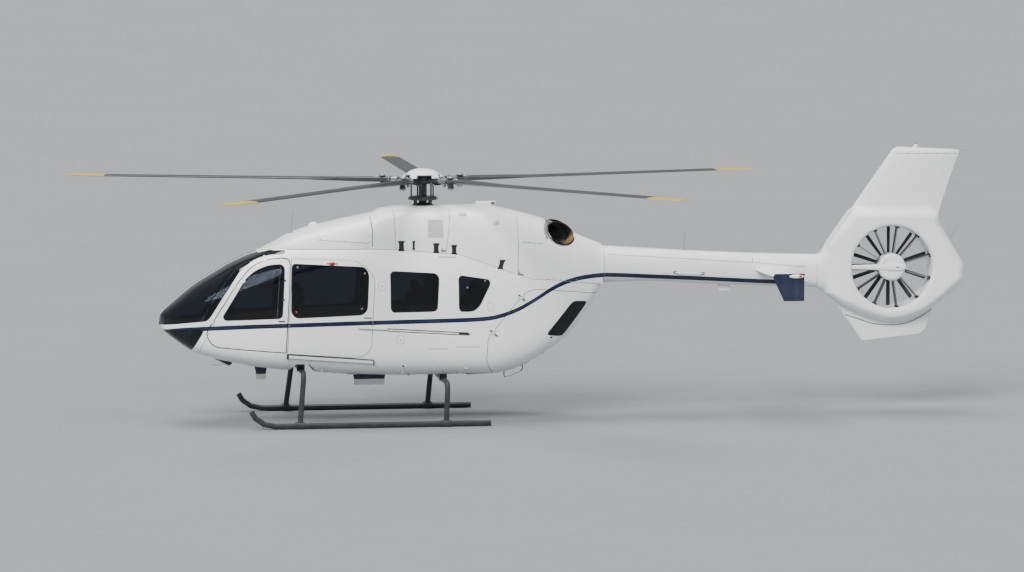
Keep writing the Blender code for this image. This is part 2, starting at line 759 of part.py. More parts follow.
def make_cowling():
    cowl = loft("engine_cowling", [cowl_ring(x) for x in cowl_places(-2.40, POD_TAIL_X)])
    cut(cowl, pod_below("cutter"))
    hollow = loft("cutter", [cowl_ring(x, 0.022, 0.5) for x in cowl_places(-1.60, 1.70)])
    cut(cowl, hollow)
    cut(cowl, turned("cutter", [(MAST_HOLE, 2.2), (MAST_HOLE, 2.7)], 32))
    for side in (-1, 1):
        cut(cowl, side_prism(exhaust_oval(), side, RIDGE_HALF))
        cut(cowl, exhaust_pipe("cutter", side, PIPE_CLEAR, 0, 0.05))
    return clean(cowl)


def exhaust_oval():
    """Lower half of the oval, open at the top."""
    lean = math.radians(EXHAUST_OVAL["tilt"])
    outline = []
    for i in range(15):
        angle = math.pi * (1.0 + i / 14.0)
        along = EXHAUST_OVAL["along"] * math.cos(angle)
        up = EXHAUST_OVAL["up"] * math.sin(angle)
        outline.append((EXHAUST_OVAL["x"] + along * math.cos(lean) - up * math.sin(lean),
                        EXHAUST_OVAL["z"] + along * math.sin(lean) + up * math.cos(lean)))
    return outline + [(outline[-1][0], 2.6), (outline[0][0], 2.6)]


def pod_below(name):
    """Everything under the seam and under the roof of the cabin body, with a hair's gap."""
    body = pod_solid(name, -GAP, POD[0]["x"], POD_TAIL_X)
    outline = [(-4.2, -1.0)] + [(-4.2, SEAM[0][1] + GAP)]
    outline += [(x, z + GAP) for x, z in SEAM]
    outline += [(POD_TAIL_X + 0.2, SEAM[-1][1] + GAP), (POD_TAIL_X + 0.2, -1.0)]
    common(body, prism("cutter", outline, -1.5, 1.5))
    lower = [(-2.08, 0.9)] + [(x, z + GAP) for x, z in SEAM]
    lower += [(POD_TAIL_X + 0.2, SEAM[-1][1] + GAP), (POD_TAIL_X + 0.2, 0.9)]
    return join(body, prism("cutter", lower, -1.4, 1.4))


def exhaust_pipe(name, side, grow, first, past, kind="white"):
    """Pipe that flares from round at the engine to an oval mouth, grown by grow."""
    rows = EXHAUST[first:]
    rings = []
    for row in rows:
        ahead = Vector(row["ahead"]).normalized()
        up = Vector(EXHAUST_LEAN)
        up = (up - ahead * up.dot(ahead)).normalized()
        along = up.cross(ahead)
        middle = Vector(row["at"])
        if row is rows[-1]:
            middle += ahead * past
        ring = []
        for i in range(EXHAUST_SIDES):
            angle = math.tau * i / EXHAUST_SIDES
            point = (middle + along * math.cos(angle) * (row["along"] + grow)
                     + up * math.sin(angle) * (row["up"] + grow))
            ring.append(Vector((point.x, side * point.y, point.z)))
        rings.append(ring)
    return loft(name, rings, kind)


def make_exhausts():
    for label, side in SIDES:
        pipe = exhaust_pipe("exhaust_" + label, side, 0.0, 0, 0.0, "bronze")
        cut(pipe, exhaust_pipe("cutter", side, -PIPE_WALL, 1, 0.03))
        smooth(clean(pipe))


def make_engine():
    places = [ENGINE_START_X] + [x for x, z in SEAM if ENGINE_START_X < x < ENGINE_END_X]
    outline = [(x, seam_height(x) + 2 * GAP) for x in places + [ENGINE_END_X]]
    return prism("engine_and_gearbox", outline + ENGINE_TOP, -ENGINE_HALF, ENGINE_HALF, "grey")


# Tail
def boom_ring(x, low, high, half, points=28):
    ring = []
    for i in range(points):
        angle = math.tau * (i + 0.5) / points
        c, s = math.cos(angle), math.sin(angle)
        ring.append(Vector((x, math.copysign(half * abs(c) ** 0.85, c),
                            (low + high) / 2
                            + math.copysign((high - low) / 2 * abs(s) ** 0.85, s))))
    return ring


def make_boom():
    rings = [boom_ring(row["x"], row["low"], row["high"], row["half"]) for row in BOOM]
    smooth(loft("tail_boom", rings))


def wing_ring(front, back, half, across, points=9):
    """Symmetric wing section from front to back, half thick, thickness along across."""
    front = Vector(front)
    back = Vector(back)
    across = Vector(across)
    ring = []
    for sign in (1, -1):
        for i in range(points):
            share = (1 - math.cos(math.pi * i / points)) / 2
            if sign < 0:
                share = 1 - share
            thick = 2.6 * math.sqrt(share) * (1 - share) * (1.0 + 0.35 * share) + 0.10 * share
            point = front.lerp(back, share) + across * (sign * half * max(thick, 0.0))
            ring.append(point)
    return ring


def rounded(outline, first, last, steps=3):
    """Outline with the corners from first to last joined by a smooth curve."""
    made = list(outline[:first])
    for i in range(first, last):
        before = Vector(outline[max(i - 1, first)])
        here = Vector(outline[i])
        after = Vector(outline[i + 1])
        beyond = Vector(outline[min(i + 2, last)])
        for k in range(steps):
            t = k / steps
            point = (here * 2.0 + (after - before) * t
                     + (before * 2.0 - here * 5.0 + after * 4.0 - beyond) * t * t
                     + (here * 3.0 - before - after * 3.0 + beyond) * t ** 3) * 0.5
            made.append(tuple(point))
    return made + list(outline[last:])


def fin_part(sections):
    rings = [wing_ring((x0, 0.0, z0), (x1, 0.0, z1), half, (0.0, 1.0, 0.0))
             for (x0, z0), (x1, z1), half in sections]
    return loft("cutter", rings)


def make_fin():
    outline = rounded(DUCT_BODY, 0, 6)
    body = []
    for y, inset in DUCT_BODY_EDGE:
        body.append([Vector((x, y, z)) for x, z in shrink(outline, inset)])
    fin = loft("tail_fin", body)
    join(fin, loft("cutter", [boom_ring(*row) for row in FIN_ROOT]))
    join(fin, fin_part(FIN_UPPER))
    join(fin, fin_part(FIN_LOWER))
    lip = [(DUCT_RADIUS + more, in_from - DUCT_HALF_DEPTH) for more, in_from in DUCT_LIP]
    lip += [(radius, -place) for radius, place in reversed(lip)]
    cut(fin, placed(turned("cutter", lip, DUCT_SIDES), tail_frame()))
    smooth(clean(fin))


def tail_frame():
    """Turns something about Z into the tail rotor's place, about its Y axis."""
    return Matrix.Translation((DUCT_X, 0, DUCT_Z)) @ Matrix.Rotation(math.radians(-90), 4, "X")


def make_stator():
    """Fixed hub, ten vanes and the driveshaft arm that reaches forward to the boom."""
    stator = turned("tail_stator", [(0.17, -0.235), (TAIL_HUB_RADIUS, -0.21),
                                    (TAIL_HUB_RADIUS, -0.03)], 32, "white")
    reach = DUCT_RADIUS + 0.01
    for i in range(TAIL_VANES + 1):
        angle = math.tau * i / (TAIL_VANES + 1)
        if i == 0:
            spoke = block("spoke", (0.1, -0.045, -0.18), (reach, 0.045, -0.09))
        else:
            spoke = block("spoke", (0.1, -0.009, VANE_START + 0.001 * i), (reach, 0.009, VANE_END))
        join(stator, placed(spoke, turn_z(math.pi + angle)))
    wall = DUCT_RADIUS - 1.01 * GAP
    common(stator, turned("cutter", [(wall, -0.4), (wall, 0.4)], DUCT_SIDES))
    smooth(placed(clean(stator), tail_frame()))


def make_tail_rotor():
    rotor = turned("tail_rotor", [(0.05, -0.03 + GAP), (0.05, -0.02), (0.17, -0.015),
                                  (0.185, 0.0), (0.185, 0.12), (0.15, 0.145)], 32, "dark")
    for i in range(TAIL_BLADES):
        rings = []
        for radius, chord, pitch in ((0.15, 0.055, 34.0), (0.30, 0.058, 28.0),
                                     (0.592, 0.060, 20.0)):
            lean = math.radians(pitch)
            across = Vector((0, math.cos(lean), math.sin(lean)))
            normal = Vector((0, -math.sin(lean), math.cos(lean)))
            middle = Vector((radius, 0, 0.06))
            rings.append(wing_ring(middle - across * chord / 2, middle + across * chord / 2,
                                   0.006, normal, 3))
        blade = loft("blade", rings)
        join(rotor, placed(blade, turn_z(math.tau * (i + 0.5) / TAIL_BLADES)))
    smooth(placed(clean(rotor), tail_frame()))
    set_origin(rotor, (DUCT_X, 0, DUCT_Z))


def make_stabilisers():
    """Tailplane halves, each with its end plate, seated on the boom's sides."""
    up = (0.0, 0.0, 1.0)
    across = (0.0, 1.0, 0.0)
    for label, side in SIDES:
        half = [wing_ring((4.900, side * 0.10, STAB_Z), (5.400, side * 0.10, STAB_Z), 0.034, up),
                wing_ring((4.960, side * STAB_SPAN, STAB_Z), (5.400, side * STAB_SPAN, STAB_Z),
                          0.028, up)]
        tail = loft("stabiliser_" + label, half)
        plate = [wing_ring((5.120, side * STAB_SPAN, STAB_Z - PLATE_DROP),
                           (5.420, side * STAB_SPAN, STAB_Z - PLATE_DROP), 0.010, across),
                 wing_ring((4.960, side * STAB_SPAN, STAB_Z - 0.02),
                           (5.420, side * STAB_SPAN, STAB_Z - 0.02), 0.016, across),
                 wing_ring((4.980, side * STAB_SPAN, STAB_Z + 0.04),
                           (5.430, side * STAB_SPAN, STAB_Z + 0.04), 0.016, across)]
        join(tail, loft("plate", plate))
        grown = [boom_ring(row["x"], row["low"] - GAP, row["high"] + GAP, row["half"] + GAP)
                 for row in BOOM]
        cut(tail, loft("cutter", grown))
        smooth(clean(tail))


# Landing gear
def arch(x, deck_z, bend_y, foot_x):
    """Path of a crosstube from one skid over to the other."""
    foot_z = GROUND_Z + SKID_RADIUS
    half = []
    steps = 5
    for i in range(steps + 1):
        angle = math.radians(BEND_DEG) * i / steps
        half.append((bend_y + BEND_RADIUS * math.sin(angle),
                     deck_z - BEND_RADIUS * (1 - math.cos(angle))))
    half.append((SKID_Y, foot_z + 0.02))
    path = []
    for y, z in half:
        share = (deck_z - z) / (deck_z - foot_z)
        path.append((x + (foot_x - x) * share, y, z))
    return [(a, -b, c) for a, b, c in reversed(path)] + path


def make_landing_gear():
    z = GROUND_Z + SKID_RADIUS
    tube_radius = SKID_RADIUS - 0.005
    for label, side in SIDES:
        y = side * SKID_Y
        path = [(0.85, y, z), (-2.28, y, z), (-2.44, y, z + 0.035), (-2.56, y, z + 0.12),
                (-2.62, y, z + 0.22)]
        skid = tube("skid_" + label, path, tube_radius, 12)
        join(skid, block("shoe", (-2.20, y - SHOE_HALF, GROUND_Z), (0.80, y + SHOE_HALF, z)))
        smooth(clean(skid))
    table = (
        ("crosstube_front", FRONT_TUBE_X, 0.10, 0.78, -1.92, NOTCH_TOP),
        ("crosstube_rear", REAR_TUBE_X, -0.065, 0.86, 0.20, BELLY_Z),
    )
    for name, x, deck_z, bend_y, foot_x, seat_z in table:
        cross = tube(name, arch(x, deck_z, bend_y, foot_x), CROSSTUBE_RADIUS, 10)
        for side in (-1, 1):
            y = side * SADDLE_Y
            join(cross, block("saddle", (x - 0.055, y - 0.045, deck_z - 0.02),
                              (x + 0.055, y + 0.045, seat_z - GAP)))
            y = side * SKID_Y
            join(cross, tube("clamp", [(foot_x + 0.07, y, z), (foot_x - 0.07, y, z)],
                             SKID_RADIUS + 0.012, 12))
            cut(cross, tube("cutter", [(foot_x + 0.3, y, z), (foot_x - 0.3, y, z)],
                            tube_radius + GAP, 12))
            cut(cross, block("cutter", (foot_x - 0.4, y - SHOE_HALF - GAP, GROUND_Z - 0.05),
                             (foot_x + 0.4, y + SHOE_HALF + GAP, z)))
        smooth(clean(cross))


# Rotor
def blade_angle(i):
    return math.radians(FIRST_BLADE_DEG + 360.0 * i / BLADES)


def make_mast():
    """Mast with the swashplate and one pitch link for each blade."""
    profile = [(0.10, 2.30 + GAP), (0.10, 2.36), (MAST_RADIUS, 2.38), (MAST_RADIUS, 2.52),
               (0.20, 2.525), (0.20, 2.575), (MAST_RADIUS, 2.58),
               (MAST_RADIUS, ROTOR_Z - 0.06 - GAP)]
    mast = turned("rotor_mast", profile, 16, "metal")
    for i in range(BLADES):
        angle = blade_angle(i) + math.radians(LINK_LEAD_DEG)
        x, y = LINK_RADIUS * math.cos(angle), LINK_RADIUS * math.sin(angle)
        join(mast, tube("link", [(x, y, 2.56), (x, y, ROTOR_Z - 0.065)], 0.012, 8))
    smooth(clean(mast))


def make_hub():
    hub = turned("rotor_hub", [(0.13, ROTOR_Z - 0.06), (0.15, ROTOR_Z - 0.04),
                               (0.15, ROTOR_Z + 0.045), (0.13, ROTOR_Z + 0.06)], 24, "dark")
    for i in range(BLADES):
        arm = block("arm", (0.05, -0.045, ROTOR_Z - 0.032), (ROOT_RADIUS, 0.045, ROTOR_Z + 0.032))
        join(hub, placed(arm, turn_z(blade_angle(i))))
    clean(hub)


def make_cap():
    """Dome on the hub with one foot over each blade's root."""
    z = ROTOR_Z + 0.06 + GAP
    profile = [(0.10, z), (0.245, z), (0.242, z + 0.018), (0.215, z + 0.050),
               (0.165, z + 0.078), (0.100, z + 0.097), (0.025, z + 0.104)]
    cap = turned("rotor_cap", profile, 30, "white")
    foot_z = ROTOR_Z + 0.032 + GAP
    foot = [(0.16, foot_z), (CAP_RADIUS, foot_z), (CAP_RADIUS - 0.003, foot_z + 0.014),
            (0.262, foot_z + 0.046), (0.225, z + 0.036), (0.16, z + 0.040)]
    for i in range(BLADES):
        piece = prism("foot", foot, -0.05, 0.05)
        join(cap, placed(piece, turn_z(blade_angle(i))))
    smooth(clean(cap))


def make_blades():
    for i in range(BLADES):
        rings = []
        for radius, chord, half, shift in BLADE_STATIONS:
            front = Vector((radius, chord * 0.30 - shift + 0.02, ROTOR_Z))
            back = Vector((radius, -chord * 0.70 - shift + 0.02, ROTOR_Z))
            if radius < 1.0:
                front.y, back.y = chord / 2, -chord / 2
            rings.append(wing_ring(front, back, half, (0, 0, 1), 7))
        blade = loft("rotor_blade_%d" % (i + 1), rings, "blade")
        damper = turned("damper", DAMPER, 12, "blade")
        join(blade, placed(damper, Matrix.Translation((DAMPER_RADIUS, 0.0, ROTOR_Z))))
        placed(blade, turn_z(blade_angle(i)))
        smooth(clean(blade))


# Cabin fittings
def make_seat(name, x, y, half):
    """Seat with a pedestal, cushion and back, seen from the side."""
    outline = [(x + along, FLOOR_Z + GAP + up) for along, up in SEAT_SIDE]
    return prism(name, outline, y - half, y + half, "cloth")


def make_console():
    z = FLOOR_Z + GAP
    side = [(x, z + up) for x, up in CONSOLE_SIDE]
    console = prism("instrument_console", side, -CONSOLE_HALF, CONSOLE_HALF, "dark")
    hood = [(x, z + up) for x, up in HOOD_SIDE]
    join(console, prism("hood", hood, -HOOD_HALF, HOOD_HALF, "dark"))
    return clean(console)


def build():
    clear_scene()
    pod = make_pod()
    doors = make_doors(pod)
    shell = make_shell(pod)
    notch = [(FRONT_TUBE_X + across, up) for across, up in BELLY_NOTCH]
    cut(shell, prism("cutter", notch, -1.2, 1.2))
    join(shell, block("pad", (-PAD_HALF, -PAD_HALF, 0.0), (PAD_HALF, PAD_HALF, BELLY_Z + 0.05)))
    for label, side in SIDES:
        add_hinges(doors["pilot_door_" + label], shell, PILOT_HINGE, side)
        add_hinges(doors["clamshell_door_" + label], shell, REAR_HINGE, side)
    for item in [shell] + list(doors.values()):
        smooth(clean(item))
    make_glass()
    smooth(make_cowling())
    make_engine()
    make_exhausts()
    make_boom()
    make_fin()
    make_stabilisers()
    make_stator()
    make_tail_rotor()
    make_landing_gear()
    make_mast()
    make_hub()
    make_cap()
    make_blades()
    for seat in SEATS:
        make_seat(*seat)
    make_console()


build()
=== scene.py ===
"""Looks of the light twin-engined helicopter: paint, glass, fittings, seats and small parts.

Metres, +Z up, +X aft, +Y starboard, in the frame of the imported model.
"""
import math

import bmesh
import bpy
from mathutils import Matrix, Vector
from mathutils.bvhtree import BVHTree


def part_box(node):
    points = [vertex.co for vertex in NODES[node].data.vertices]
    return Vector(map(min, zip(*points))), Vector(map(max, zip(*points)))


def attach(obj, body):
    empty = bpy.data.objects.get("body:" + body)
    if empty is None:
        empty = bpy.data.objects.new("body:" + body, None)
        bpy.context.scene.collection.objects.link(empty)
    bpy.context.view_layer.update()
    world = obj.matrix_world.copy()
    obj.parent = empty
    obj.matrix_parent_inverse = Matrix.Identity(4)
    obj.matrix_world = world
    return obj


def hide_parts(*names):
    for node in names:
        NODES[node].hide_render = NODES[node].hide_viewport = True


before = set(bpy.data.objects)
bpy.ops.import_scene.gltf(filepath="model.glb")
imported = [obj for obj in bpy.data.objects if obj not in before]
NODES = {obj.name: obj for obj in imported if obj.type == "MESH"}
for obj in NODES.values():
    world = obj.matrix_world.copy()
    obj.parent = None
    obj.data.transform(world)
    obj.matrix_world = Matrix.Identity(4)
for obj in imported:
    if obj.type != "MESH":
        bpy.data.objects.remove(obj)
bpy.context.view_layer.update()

# Values repeated from the part's source
GLASS_IN = 0.004
GLASS_OUT = 0.014
BELLY_Z = 0.010
GROUND_Z = -0.68
UPPER_SQUARE = 3.2
LOWER_SQUARE = 3.6
BELLY_FLAT = 1.05
ROTOR_Z = 2.82
ROTOR_RADIUS = 5.4
BLADES = 5
FIRST_BLADE_DEG = 18.0
DUCT_X = 6.96
DUCT_Z = 1.466
DUCT_RADIUS = 0.604
POD_TAIL_X = 2.62
BOOM_END_X = 5.85
SIDES = (("left", -1), ("right", 1))

# Fin and duct: fineness and smoothing of the soft skin, how its half width grows behind the
# boom, the line that the leading edge stays behind, and where the smoothing fades out
FIN_VOXEL = 0.0125
FIN_SMOOTHING = 31
BOOM_END_HALF = 0.172
FIN_HALF = 0.25
FIN_GROWS_OVER = 0.55
FIN_EDGE_X = 5.913
FIN_EDGE_Z = 1.658
FIN_EDGE_LEAN = 0.706
FIN_EDGE_FROM_Z = 1.66
FIN_EDGE_TO_Z = 3.19
FIN_FLAT_HALF = 0.035
FIN_FLAT_FADE = 0.05
DUCT_LIP = 0.012
DUCT_SHARE = 0.15
BOOM_GAP = 0.02
BOOM_FADE = 0.20

# Small parts
BEACON_X = 7.348
SEAM_HEIGHT = 0.0008
PIPING_LEVEL = 0.010
PIPING_RADIUS = 0.0035
CROWN = 0.010
QUILT_DEPTH = 0.012
QUILT_WIDTH = 0.011
QUARTER_TURN = Matrix.Rotation(math.radians(90), 4, "Y")


def sections(names, *rows):
    """Rows of numbers as dictionaries."""
    return [dict(zip(names.split(), row)) for row in rows]


# Sections of the cabin, the engine cowling and the boom at places along the body
POD = sections(
    "x low high half wide",
    (-3.85, 0.745, 0.900, 0.10, 0.820), (-3.80, 0.665, 0.965, 0.24, 0.810),
    (-3.65, 0.550, 1.095, 0.42, 0.780), (-3.40, 0.385, 1.300, 0.56, 0.740),
    (-3.10, 0.285, 1.490, 0.67, 0.700), (-2.80, 0.220, 1.660, 0.745, 0.680),
    (-2.40, 0.145, 1.820, 0.800, 0.660), (-2.00, 0.105, 1.940, 0.830, 0.650),
    (-1.20, 0.040, 1.990, 0.850, 0.650), (-0.35, BELLY_Z, 1.990, 0.855, 0.650),
    (0.55, BELLY_Z, 1.980, 0.850, 0.650), (0.95, BELLY_Z, 1.960, 0.830, 0.670),
    (1.35, 0.100, 1.930, 0.765, 0.770), (1.75, 0.305, 1.900, 0.660, 0.940),
    (2.10, 0.560, 1.870, 0.540, 1.130), (2.40, 0.925, 1.840, 0.400, 1.340),
    (POD_TAIL_X, 1.270, 1.825, 0.270, 1.540),
)
# Joint between the cabin and the cowling: (x, z)
SEAM = [
    (-2.08, 1.862), (-0.49, 1.848), (0.13, 1.795), (0.49, 1.760), (0.82, 1.640),
    (1.29, 1.475), (1.50, 1.402), (1.85, 1.375), (2.10, 1.343), (POD_TAIL_X, 1.275),
]
COWL = sections(
    "x high square side",
    (-2.40, 1.815, 2.2, 0.40), (-2.32, 1.862, 2.2, 0.62), (-2.22, 1.912, 2.2, 0.82),
    (-2.06, 2.002, 2.3, 1.00), (-1.94, 2.065, 2.3, 1.00), (-1.72, 2.140, 2.4, 1.00),
    (-1.21, 2.260, 2.5, 1.00), (-0.88, 2.324, 2.6, 0.985), (-0.83, 2.332, 2.6, 0.955),
    (-0.80, 2.341, 2.6, 1.00), (-0.74, 2.352, 2.6, 1.00), (-0.64, 2.405, 2.7, 1.00),
    (-0.33, 2.446, 2.8, 1.00), (0.40, 2.450, 2.8, 1.00), (0.85, 2.450, 2.8, 1.00),
    (1.15, 2.402, 2.7, 1.00), (1.74, 2.247, 2.6, 1.00), (2.00, 2.140, 2.4, 1.00),
    (2.20, 2.032, 2.3, 1.00), (POD_TAIL_X, 1.858, 2.2, 1.00),
)
BOOM = sections(
    "x low high half",
    (POD_TAIL_X, 1.275, 1.825, 0.268), (3.30, 1.290, 1.780, 0.235), (4.10, 1.245, 1.727, 0.205),
    (5.00, 1.198, 1.683, 0.185), (BOOM_END_X, 1.165, 1.655, 0.170),
)
BOOM_POWER = 2.0 / 0.85
# Outlines of the windows and the sliding door in the side view, and how corners are rounded
PILOT_WINDOW = [
    (-2.955, 0.868), (-2.175, 0.896), (-2.140, 0.930), (-2.096, 1.615), (-2.140, 1.661),
    (-2.327, 1.643), (-2.516, 1.566), (-2.663, 1.440), (-2.985, 0.915),
]
SLIDING_DOOR = [
    (-2.067, 0.377), (-1.015, 0.300), (-0.855, 0.416), (-0.794, 1.500), (-1.039, 1.710),
    (-1.985, 1.752),
]
SLIDING_WINDOW = [
    (-1.942, 0.899), (-0.986, 0.935), (-0.913, 1.000), (-0.883, 1.522), (-0.940, 1.610),
    (-1.968, 1.666), (-1.990, 1.594), (-2.006, 0.972),
]
CABIN_WINDOW = [
    (-0.535, 0.966), (0.062, 0.972), (0.105, 1.001), (0.135, 1.451), (0.092, 1.509),
    (-0.534, 1.547), (-0.564, 1.510), (-0.564, 1.010),
]
REAR_WINDOW = [
    (0.451, 0.965), (0.626, 0.962), (0.721, 1.034), (0.882, 1.352), (0.868, 1.410),
    (0.459, 1.474), (0.429, 1.440), (0.429, 1.009),
]
REAR_DOOR_WINDOW = [
    (1.736, 0.584), (1.984, 0.555), (2.368, 1.039), (2.146, 1.055),
]
CORNER_SHARE = 0.45
WINDOW_CORNER = 0.06
DOOR_CORNER = 0.12

# Oval opening for each exhaust in the cowling's side, seen from the side
EXHAUST_OVAL = dict(x=1.983, z=2.045, along=0.228, up=0.165, tilt=-22.0)

# Middle of the dark stripe along each side: place along the body, height
STRIPE = [
    (-3.850, 0.655), (-3.777, 0.672), (-3.590, 0.708), (-3.311, 0.734), (-3.030, 0.752),
    (-2.602, 0.773), (-1.885, 0.792),
    (-1.162, 0.808), (-0.436, 0.821), (0.293, 0.832), (0.732, 0.844), (0.880, 0.856),
    (1.028, 0.884), (1.178, 0.928), (1.328, 0.986), (1.480, 1.062), (1.632, 1.147),
    (1.786, 1.236), (1.941, 1.308), (2.096, 1.358), (2.254, 1.389), (2.414, 1.404),
    (2.577, 1.410), (2.730, 1.408), (3.330, 1.375), (4.080, 1.333), (4.831, 1.287),
    (5.192, 1.267), (5.584, 1.254), (5.765, 1.249),
]
STRIPE_HALF = 0.033


# Values along the body
def between(table, x, key):
    """Smooth value between a table's rows that doesn't overshoot them."""
    last = len(table) - 1
    i = 0
    while i < last - 1 and x > table[i + 1]["x"]:
        i += 1
    x0, x1 = table[i]["x"], table[i + 1]["x"]
    v0, v1 = table[i][key], table[i + 1][key]
    before = table[max(i - 1, 0)]
    after = table[min(i + 2, last)]
    s0 = (v1 - before[key]) / (x1 - before["x"])
    s1 = (after[key] - v0) / (after["x"] - x0)
    flat = (v1 - v0) / (x1 - x0)
    if flat == 0.0 or s0 * flat < 0:
        s0 = 0.0
    if flat == 0.0 or s1 * flat < 0:
        s1 = 0.0
    limit = 3.0 * abs(flat)
    s0 = max(-limit, min(limit, s0))
    s1 = max(-limit, min(limit, s1))
    width = x1 - x0
    t = max(0.0, min(1.0, (x - x0) / width))
    return ((2 * t ** 3 - 3 * t ** 2 + 1) * v0 + (t ** 3 - 2 * t ** 2 + t) * width * s0
            + (3 * t ** 2 - 2 * t ** 3) * v1 + (t ** 3 - t ** 2) * width * s1)


ROWS = {}


def row_at(kind, x):
    """Cached values of the body's section at x."""
    key = (kind, round(x, 6))
    if key not in ROWS:
        if kind == "pod":
            ROWS[key] = tuple(between(POD, x, name) for name in ("half", "wide", "high", "low"))
        elif kind == "cowl":
            seam = seam_height(x)
            half, wide, high, _ = row_at("pod", x)
            level = min(seam, high - 0.05)
            share = min(0.999, max(0.0, (level - wide) / (high - wide)))
            half *= (1.0 - share ** UPPER_SQUARE) ** (1.0 / UPPER_SQUARE)
            top = between(COWL, x, "high")
            ROWS[key] = (half * between(COWL, x, "side"), min(seam, top - 0.02), top,
                         between(COWL, x, "square"))
        else:
            ROWS[key] = tuple(between(BOOM, x, name) for name in ("half", "low", "high"))
    return ROWS[key]


def seam_height(x):
    """Height of the joint between the cabin and the engine cowling."""
    if x <= SEAM[0][0]:
        return SEAM[0][1]
    for (x0, z0), (x1, z1) in zip(SEAM, SEAM[1:]):
        if x <= x1:
            return z0 + (z1 - z0) * (x - x0) / (x1 - x0)
    return SEAM[-1][1]


# Skins as functions that are zero on the surface and grow outwards
def pod_skin(p):
    """Cabin, squarer above its widest level than below."""
    half, wide, high, low = row_at("pod", p.x)
    if p.z > wide:
        rise = (p.z - wide) / (high - wide)
        return (abs(p.y) / half) ** UPPER_SQUARE + rise ** UPPER_SQUARE - 1.0
    drop = (wide - p.z) / (BELLY_FLAT * (wide - low))
    return (abs(p.y) / half) ** LOWER_SQUARE + drop ** LOWER_SQUARE - 1.0


def belly_skin(p):
    """Flat underside of the cabin."""
    return row_at("pod", p.x)[3] - p.z


def cowl_skin(p):
    """Engine cowling above the cabin."""
    half, base, high, square = row_at("cowl", p.x)
    rise = max(0.0, (p.z - base) / (high - base))
    return (abs(p.y) / half) ** square + rise ** square - 1.0


def boom_skin(p):
    """Tail boom."""
    half, low, high = row_at("boom", p.x)
    middle = (low + high) / 2
    return ((abs(p.y) / half) ** BOOM_POWER
            + (abs(p.z - middle) / ((high - low) / 2)) ** BOOM_POWER - 1.0)


def slope(skin, p, step=0.001):
    """Direction in which a skin's value grows, and how fast."""
    return Vector([(skin(p + axis) - skin(p - axis)) / (2 * step)
                   for axis in Matrix.Identity(3) * step])


def onto(skin, p, depth=0.0, rounds=4):
    """Nearest point of the skin, depth metres inside it, and the outward direction."""
    p = Vector(p)
    out = Vector((0, 0, 1))
    for _ in range(rounds):
        lean = slope(skin, p)
        size = max(lean.length, 1e-6)
        out = lean / size
        p = p - out * (skin(p) / size + depth)
    return p, out


def side_skin(x, z):
    """Which skin a point of the side view lies on."""
    if x > POD_TAIL_X:
        return boom_skin
    return cowl_skin if z > seam_height(x) + 0.001 else pod_skin


def side_point(x, z, side):
    """Point of the outer skin on one side at (x, z), and the outward direction."""
    skin = side_skin(x, z)
    if skin is boom_skin:
        half, low, high = row_at("boom", x)
        power = BOOM_POWER
        share = abs(z - (low + high) / 2) / ((high - low) / 2)
    elif skin is cowl_skin:
        half, base, high, power = row_at("cowl", x)
        share = max(0.0, (z - base) / (high - base))
    else:
        half, wide, high, low = row_at("pod", x)
        if z > wide:
            power, share = UPPER_SQUARE, (z - wide) / (high - wide)
        else:
            power, share = LOWER_SQUARE, (wide - z) / (BELLY_FLAT * (wide - low))
    y = half * (1.0 - min(0.999, share) ** power) ** (1.0 / power)
    p = Vector((x, side * y, z))
    return p, slope(skin, p).normalized()


